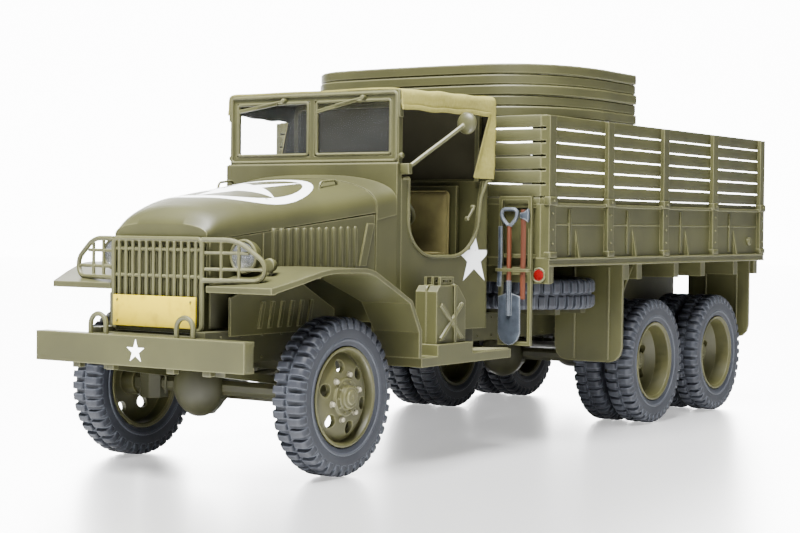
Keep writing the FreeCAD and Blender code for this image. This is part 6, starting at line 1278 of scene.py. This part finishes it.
WOOD, WOOD_DARK, WOOD_DEPTH = (0.035, 0.0085, 0.0025, 1), (0.02, 0.005, 0.0016, 1), 0.00002
wood = Paint("shaft_wood")
wood_grain = wood.noise(900.0, 3.0, 0.6, (1.0, 1.0, 0.08))
shaft_wood = wood.finish({
    "Base Color": wood.blend(wood_grain.steps(0.35, 0.65), WOOD, WOOD_DARK),
    "Roughness": 0.55 + wood_grain * 0.1}, wood_grain, WOOD_DEPTH, 0.4)
STEEL, STEEL_DARK, STEEL_WORN = (0.035, 0.042, 0.052, 1), (0.02, 0.024, 0.03, 1), (0.12, 0.13, 0.14, 1)
WORN_EDGE = 0.0003
steel = Paint("tool_steel")
steel_cloud = steel.noise(500.0, 4.0)
steel_colour = steel.blend(steel_cloud.steps(0.35, 0.7), STEEL, STEEL_DARK)
tool_steel = steel.finish({
    "Base Color": steel.blend(steel.edge(WORN_EDGE), steel_colour, STEEL_WORN),
    "Roughness": 0.35 + steel_cloud * 0.2, "Metallic": 0.7})
TOOL_LINE, SHOVEL_ACROSS = -16.85, 25.1
BLADE = ((22.75, 28.0), (22.7, 21.2), (23.2, 20.0), (24.1, 19.2), (25.1, 18.9), (26.1, 19.2), (27.0, 20.0),
         (27.5, 21.2), (27.45, 28.0), (26.6, 28.3), (25.7, 28.6), (24.5, 28.6), (23.6, 28.3))
BLADE_SHIFT, BLADE_THICK, BLADE_SOFT = 0.1, 0.35, 0.08
SOCKET, SOCKET_ROD, SHAFT_RUN, SHAFT_ROD = ((0.05, 24.5), (0, 28.4), (0, 31.0)), 0.52, (30.8, 41.2), 0.44
GRIP_LOOP = ((25.1, 41.0), (23.45, 42.8), (23.45, 44.35), (26.75, 44.35), (26.75, 42.8))
LOOP_BEND, LOOP_ROD = 0.8, 0.38
AXE_SHAFT = ((28.1, 27.6), (28.1, 34.0), (28.15, 40.0), (28.1, 44.3))
AXE_SECTION = ((0.36, 0), (0.26, 0.4), (0, 0.55), (-0.26, 0.4), (-0.36, 0), (-0.26, -0.4), (0, -0.55),
               (0.26, -0.4))
AXE_HEAD = ((27.5, 43.7), (27.5, 42.7), (28.6, 42.6), (29.1, 41.9), (29.35, 42.6), (29.4, 43.6), (29.2, 44.5),
            (28.6, 43.8))
AXE_THICK = 0.8
PICK_LINE = ((23.0, 29.9), (23.2, 35.5), (23.15, 41.2))
PICK_SECTION = ((0.3, 0.0), (0.2, 0.35), (0, 0.45), (-0.2, 0.35), (-0.3, 0), (-0.2, -0.35), (0, -0.45),
                (0.2, -0.35))
RACK_STRAP = ((22.4, -15.9, 33.0), (22.4, -17.5, 33.0), (29.6, -17.5, 33.0), (29.6, -15.9, 33.0))
RACK_STRAP_SECTION = ((0.28, -0.08), (0.28, 0.08), (-0.28, 0.08), (-0.28, -0.08))


def tool_path(places):
    """Points in the plane of the tools, from (across, height) pairs."""
    return [(across, TOOL_LINE, height) for across, height in places]


heads, shafts, straps = bmesh.new(), bmesh.new(), bmesh.new()
plate_form(heads, BLADE, "y", TOOL_LINE + BLADE_SHIFT, BLADE_THICK, BLADE_SOFT)
socket_path = [(SHOVEL_ACROSS, TOOL_LINE + shift, height) for shift, height in SOCKET]
sweep_form(heads, socket_path, SOCKET_ROD, up=(0, 1, 0))
sweep_form(shafts, tool_path([(SHOVEL_ACROSS, height) for height in SHAFT_RUN]), SHAFT_ROD, up=(0, 1, 0))
grip_loop = round_path(tool_path(GRIP_LOOP), LOOP_BEND, closed=True)
sweep_form(heads, grip_loop, LOOP_ROD, closed=True, up=(0, 1, 0))
sweep_form(shafts, tool_path(AXE_SHAFT), AXE_SECTION, up=(0, 1, 0))
plate_form(heads, AXE_HEAD, "y", TOOL_LINE - AXE_THICK / 2, AXE_THICK, SOFT_EDGE)
sweep_form(heads, tool_path(PICK_LINE), PICK_SECTION, up=(0, 1, 0))
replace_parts(new_piece("tool_heads", heads, tool_steel, "truck"), "rack_tools")
new_piece("tool_shafts", shafts, shaft_wood, "truck")
sweep_form(straps, round_path(RACK_STRAP, STRAP_BEND), RACK_STRAP_SECTION)
cast_piece("tool_straps", straps)

# Load bed.  Steel side panels stand in stake pockets with gussets and a folded ledge, and carry
# bolted wooden racks; five bent hoops of the load cover lie across them.
BED_FACE, BED_START, BED_END, SILL_FACE = 31.4, -14.5, 90.0, 32.3
POST_PLACES = (-14.5, 9.27, 34.77, 60.27, 87.5)
POST_WIDTH = 2.5
TRIM_LINES = ((BED_FACE, 41.6, 0.17, 0.2), (SILL_FACE, 35.1, 0.2, 0.0), (SILL_FACE, 33.9, 0.2, 0.0))
LEDGE_PROUD, LEDGE_LEVEL = 0.25, 45.35
LEDGE_SECTION = ((0.35, -0.35), (0.35, 0.3), (0.2, 0.45), (-0.2, 0.45), (-0.35, 0.3), (-0.35, -0.35))
GUSSET_SUNK, GUSSET_PROUD, GUSSET_START, GUSSET_END = -0.1, 0.28, -4.2, -3.2
GUSSET_LOW, GUSSET_HIGH, GUSSET_SOFT = 35.8, 44.6, 0.1
POCKET_INNER, POCKET_OUTER = 31.2, 32.62
POCKET_BANDS = ((0.3, 45.15, 46.8, 0.22), (0.15, 35.35, 36.5, 0.2))
trims = bmesh.new()
for side in (-1, 1):
    for across, height, radius, inset in TRIM_LINES:
        line = [(side * across, BED_START + inset, height), (side * across, BED_END - inset, height)]
        sweep_form(trims, line, radius)
    ledge = [(side * (BED_FACE + LEDGE_PROUD), along, LEDGE_LEVEL) for along in (BED_START, BED_END)]
    sweep_form(trims, ledge, LEDGE_SECTION)
    for start, after in zip(POST_PLACES, POST_PLACES[1:]):
        middle = (start + POST_WIDTH + after) / 2
        side_block(trims, side, BED_FACE + GUSSET_SUNK, BED_FACE + GUSSET_PROUD,
                   (middle + GUSSET_START, GUSSET_LOW), (middle + GUSSET_END, GUSSET_HIGH), GUSSET_SOFT)
    for start in POST_PLACES:
        for past_post, low, high, soft in POCKET_BANDS:
            side_block(trims, side, POCKET_INNER, POCKET_OUTER, (start - past_post, low),
                       (start + POST_WIDTH + past_post, high), soft)
cast_piece("bed_trims", trims)

BOLT_RADIUS, BOLT_HEIGHT = 0.2, 0.24
BOLT_LEVELS = ((SILL_FACE, 38.0), (SILL_FACE, 40.6), (SILL_FACE, 43.6), (POCKET_OUTER, 46.0))
bolts = [((side * across, start + POST_WIDTH / 2, height), FACING[face]) for side, face in SIDES[::-1]
         for start in POST_PLACES for across, height in BOLT_LEVELS]
cast_row("post_bolts", bolt_form(BOLT_RADIUS, BOLT_HEIGHT), bolts, spread=0.1, seed=11)
SLAT_COUNT, SLAT_LOW, SLAT_PITCH, SLAT_HEIGHT, SLAT_INNER, SLAT_OUTER, SLAT_SOFT = (
    6, 46.78, 2.6, 2.28, 30.35, 31.46, 0.14)
SLAT_INSET, FRONT_HALF, FRONT_PROUD, FRONT_THICK = 0.05, 30.3, 0.06, 1.06
CURB_INNER, CURB_OUTER, CURB_LOW, CURB_HIGH, CURB_THICK = 30.4, 31.3, 45.3, 46.6, 1.0
slat_start, slat_end = BED_START + SLAT_INSET, BED_END - SLAT_INSET
boards = bmesh.new()
for slat in range(SLAT_COUNT):
    low = SLAT_LOW + SLAT_PITCH * slat
    high = low + SLAT_HEIGHT
    for side in (-1, 1):
        side_block(boards, side, SLAT_INNER, SLAT_OUTER, (slat_start, low), (slat_end, high), SLAT_SOFT)
    box_form(boards, (-FRONT_HALF, BED_START - FRONT_PROUD, low), (FRONT_HALF, BED_START + FRONT_THICK, high),
             SLAT_SOFT)
for side in (-1, 1):
    side_block(boards, side, CURB_INNER, CURB_OUTER, (slat_start, CURB_LOW), (slat_end, CURB_HIGH), SLAT_SOFT)
box_form(boards, (-FRONT_HALF, BED_START, CURB_LOW), (FRONT_HALF, BED_START + CURB_THICK, CURB_HIGH),
         SLAT_SOFT)
cast_piece("rack_boards", boards)

FLOOR_COUNT, FLOOR_START, FLOOR_PITCH, FLOOR_HALF = 12, -27.5, 5.0, 0.5
FLOOR_FRONT, FLOOR_REAR, FLOOR_LOW, FLOOR_HIGH = BED_START + 1.6, BED_END - 0.4, 35.2, 35.55
floor = bmesh.new()
for step in range(FLOOR_COUNT):
    across = FLOOR_START + FLOOR_PITCH * step
    box_form(floor, (across - FLOOR_HALF, FLOOR_FRONT, FLOOR_LOW),
             (across + FLOOR_HALF, FLOOR_REAR, FLOOR_HIGH))
cast_piece("floor_ribs", floor)

GATE_FACE, GATE_HALF, GATE_LEVELS = 91.1, 30.4, (37.0, 44.2)
RAIL_HALF, RAIL_PROUD, RAIL_SOFT = 0.45, 0.5, 0.15
GATE_RIBS, GATE_RIB_HALF, GATE_RIB_PROUD, GATE_RIB_LOW, GATE_RIB_HIGH, GATE_RIB_SOFT = (
    (-22.0, -7.3, 7.3, 22.0), 1.0, 0.65, 35.8, 45.2, 0.2)
LOOP_ACROSS, LOOP_CORNERS = 30.3, ((91.6, 44.0), (92.3, 44.0), (92.3, 42.4), (91.4, 42.4))
GATE_LOOP_BEND, GATE_LOOP_ROD = 0.4, 0.2
gate = bmesh.new()
for height in GATE_LEVELS:
    box_form(gate, (-GATE_HALF, GATE_FACE, height - RAIL_HALF),
             (GATE_HALF, GATE_FACE + RAIL_PROUD, height + RAIL_HALF), RAIL_SOFT)
for across in GATE_RIBS:
    box_form(gate, (across - GATE_RIB_HALF, GATE_FACE, GATE_RIB_LOW),
             (across + GATE_RIB_HALF, GATE_FACE + GATE_RIB_PROUD, GATE_RIB_HIGH), GATE_RIB_SOFT)
for side in (-1, 1):
    loop = round_path([(side * LOOP_ACROSS, *place) for place in LOOP_CORNERS], GATE_LOOP_BEND)
    sweep_form(gate, loop, GATE_LOOP_ROD, up=(1, 0, 0))
cast_piece("gate_ribs", gate, body="tailgate")

SIDE_LAMP_SPOT, SIDE_LAMP = (31.3, 82.5, 38.2), ((0, 0), (0, 1.0), (0.5, 1.0), (0.8, 0.75), (0.85, 0))
rear = bmesh.new()
for side in (-1, 1):
    lamp_outline = [(side * out, radius) for out, radius in SIDE_LAMP]
    lathe_form(rear, lamp_outline, (side * SIDE_LAMP_SPOT[0], *SIDE_LAMP_SPOT[1:]), "x", 24)
cast_piece("rear_side_lamps", rear)

RED, RED_DARK = (0.06, 0.0012, 0.0012, 1), (0.03, 0.0008, 0.001, 1)
CELLS_PER_METRE, CELL_DEPTH = 3500.0, 0.00003
red = Paint("red_reflector")
red_cells = red.add("ShaderNodeTexVoronoi", None, {"Vector": red.place, "Scale": CELLS_PER_METRE}, "Distance")
red_plastic = red.finish({
    "Base Color": red.blend(red_cells, RED, RED_DARK), "Roughness": 0.15, "Coat Weight": 0.6},
    red_cells, CELL_DEPTH, 0.4)
REFLECTOR_SPOT = (30.25, -14.5, 32.1)
DISC_OUTLINE = ((-0.42, 0), (-0.4, 0.6), (-0.32, 1.05), (-0.1, 1.12), (0.0, 1.12), (0.0, 0))
RING_OUTLINE = ((0.0, 1.45), (-0.3, 1.42), (-0.4, 1.28), (-0.3, 1.1), (0.0, 1.08))
discs, rings = bmesh.new(), bmesh.new()
for side in (-1, 1):
    spot = (side * REFLECTOR_SPOT[0], *REFLECTOR_SPOT[1:])
    lathe_form(discs, DISC_OUTLINE, spot, "y", 32)
    lathe_form(rings, RING_OUTLINE, spot, "y", 32, closed=True)
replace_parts(new_piece("reflector_discs", discs, red_plastic, "truck"), "reflectors")
cast_piece("reflector_rings", rings)


def flowing(points, steps=6):
    """A smooth line through points."""
    points = [Vector(point) for point in points]
    line = []
    for index in range(len(points) - 1):
        before, start = points[max(index - 1, 0)], points[index]
        end, after = points[index + 1], points[min(index + 2, len(points) - 1)]
        for step in range(steps):
            share = step / steps
            line.append(0.5 * (2 * start + (end - before) * share
                               + (2 * before - 5 * start + 4 * end - after) * share ** 2
                               + (3 * start - before - 3 * end + after) * share ** 3))
    return line + [points[-1]]


HOOP_BOW = ((0, 0), (0.34, 0.014), (0.64, 0.07), (0.83, 0.27), (0.95, 0.6), (1, 1))
HOOP_SECTION = ((0.99, -0.75), (0.99, 0.75), (0.75, 0.97), (-0.75, 0.97), (-0.99, 0.75), (-0.99, -0.75),
                (-0.75, -0.97), (0.75, -0.97))
HOOP_HALF, HOOP_FRONT, HOOP_DEPTH, HOOP_LOW, HOOP_PITCH = 30.2, -12.65, 20, 63.15, 2.03
HOOP_LEGS, HOOP_SHIFTS = (23.2, 15.0), (0.12, -0.1, 0.16, -0.14, 0.05)
hoops = bmesh.new()
for number, shift in enumerate(HOOP_SHIFTS):
    hoop_level = HOOP_LOW + HOOP_PITCH * number
    bow = [(sign * HOOP_HALF * across + shift, HOOP_FRONT + HOOP_DEPTH * down, hoop_level)
           for sign, half in ((-1, HOOP_BOW[:0:-1]), (1, HOOP_BOW)) for across, down in half]
    legs = [[(sign * HOOP_HALF + shift, along, hoop_level) for along in HOOP_LEGS] for sign in (-1, 1)]
    sweep_form(hoops, flowing(legs[0] + bow + legs[1][::-1]), HOOP_SECTION)
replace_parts(cast_piece("bent_hoops", hoops), "cover_hoops")
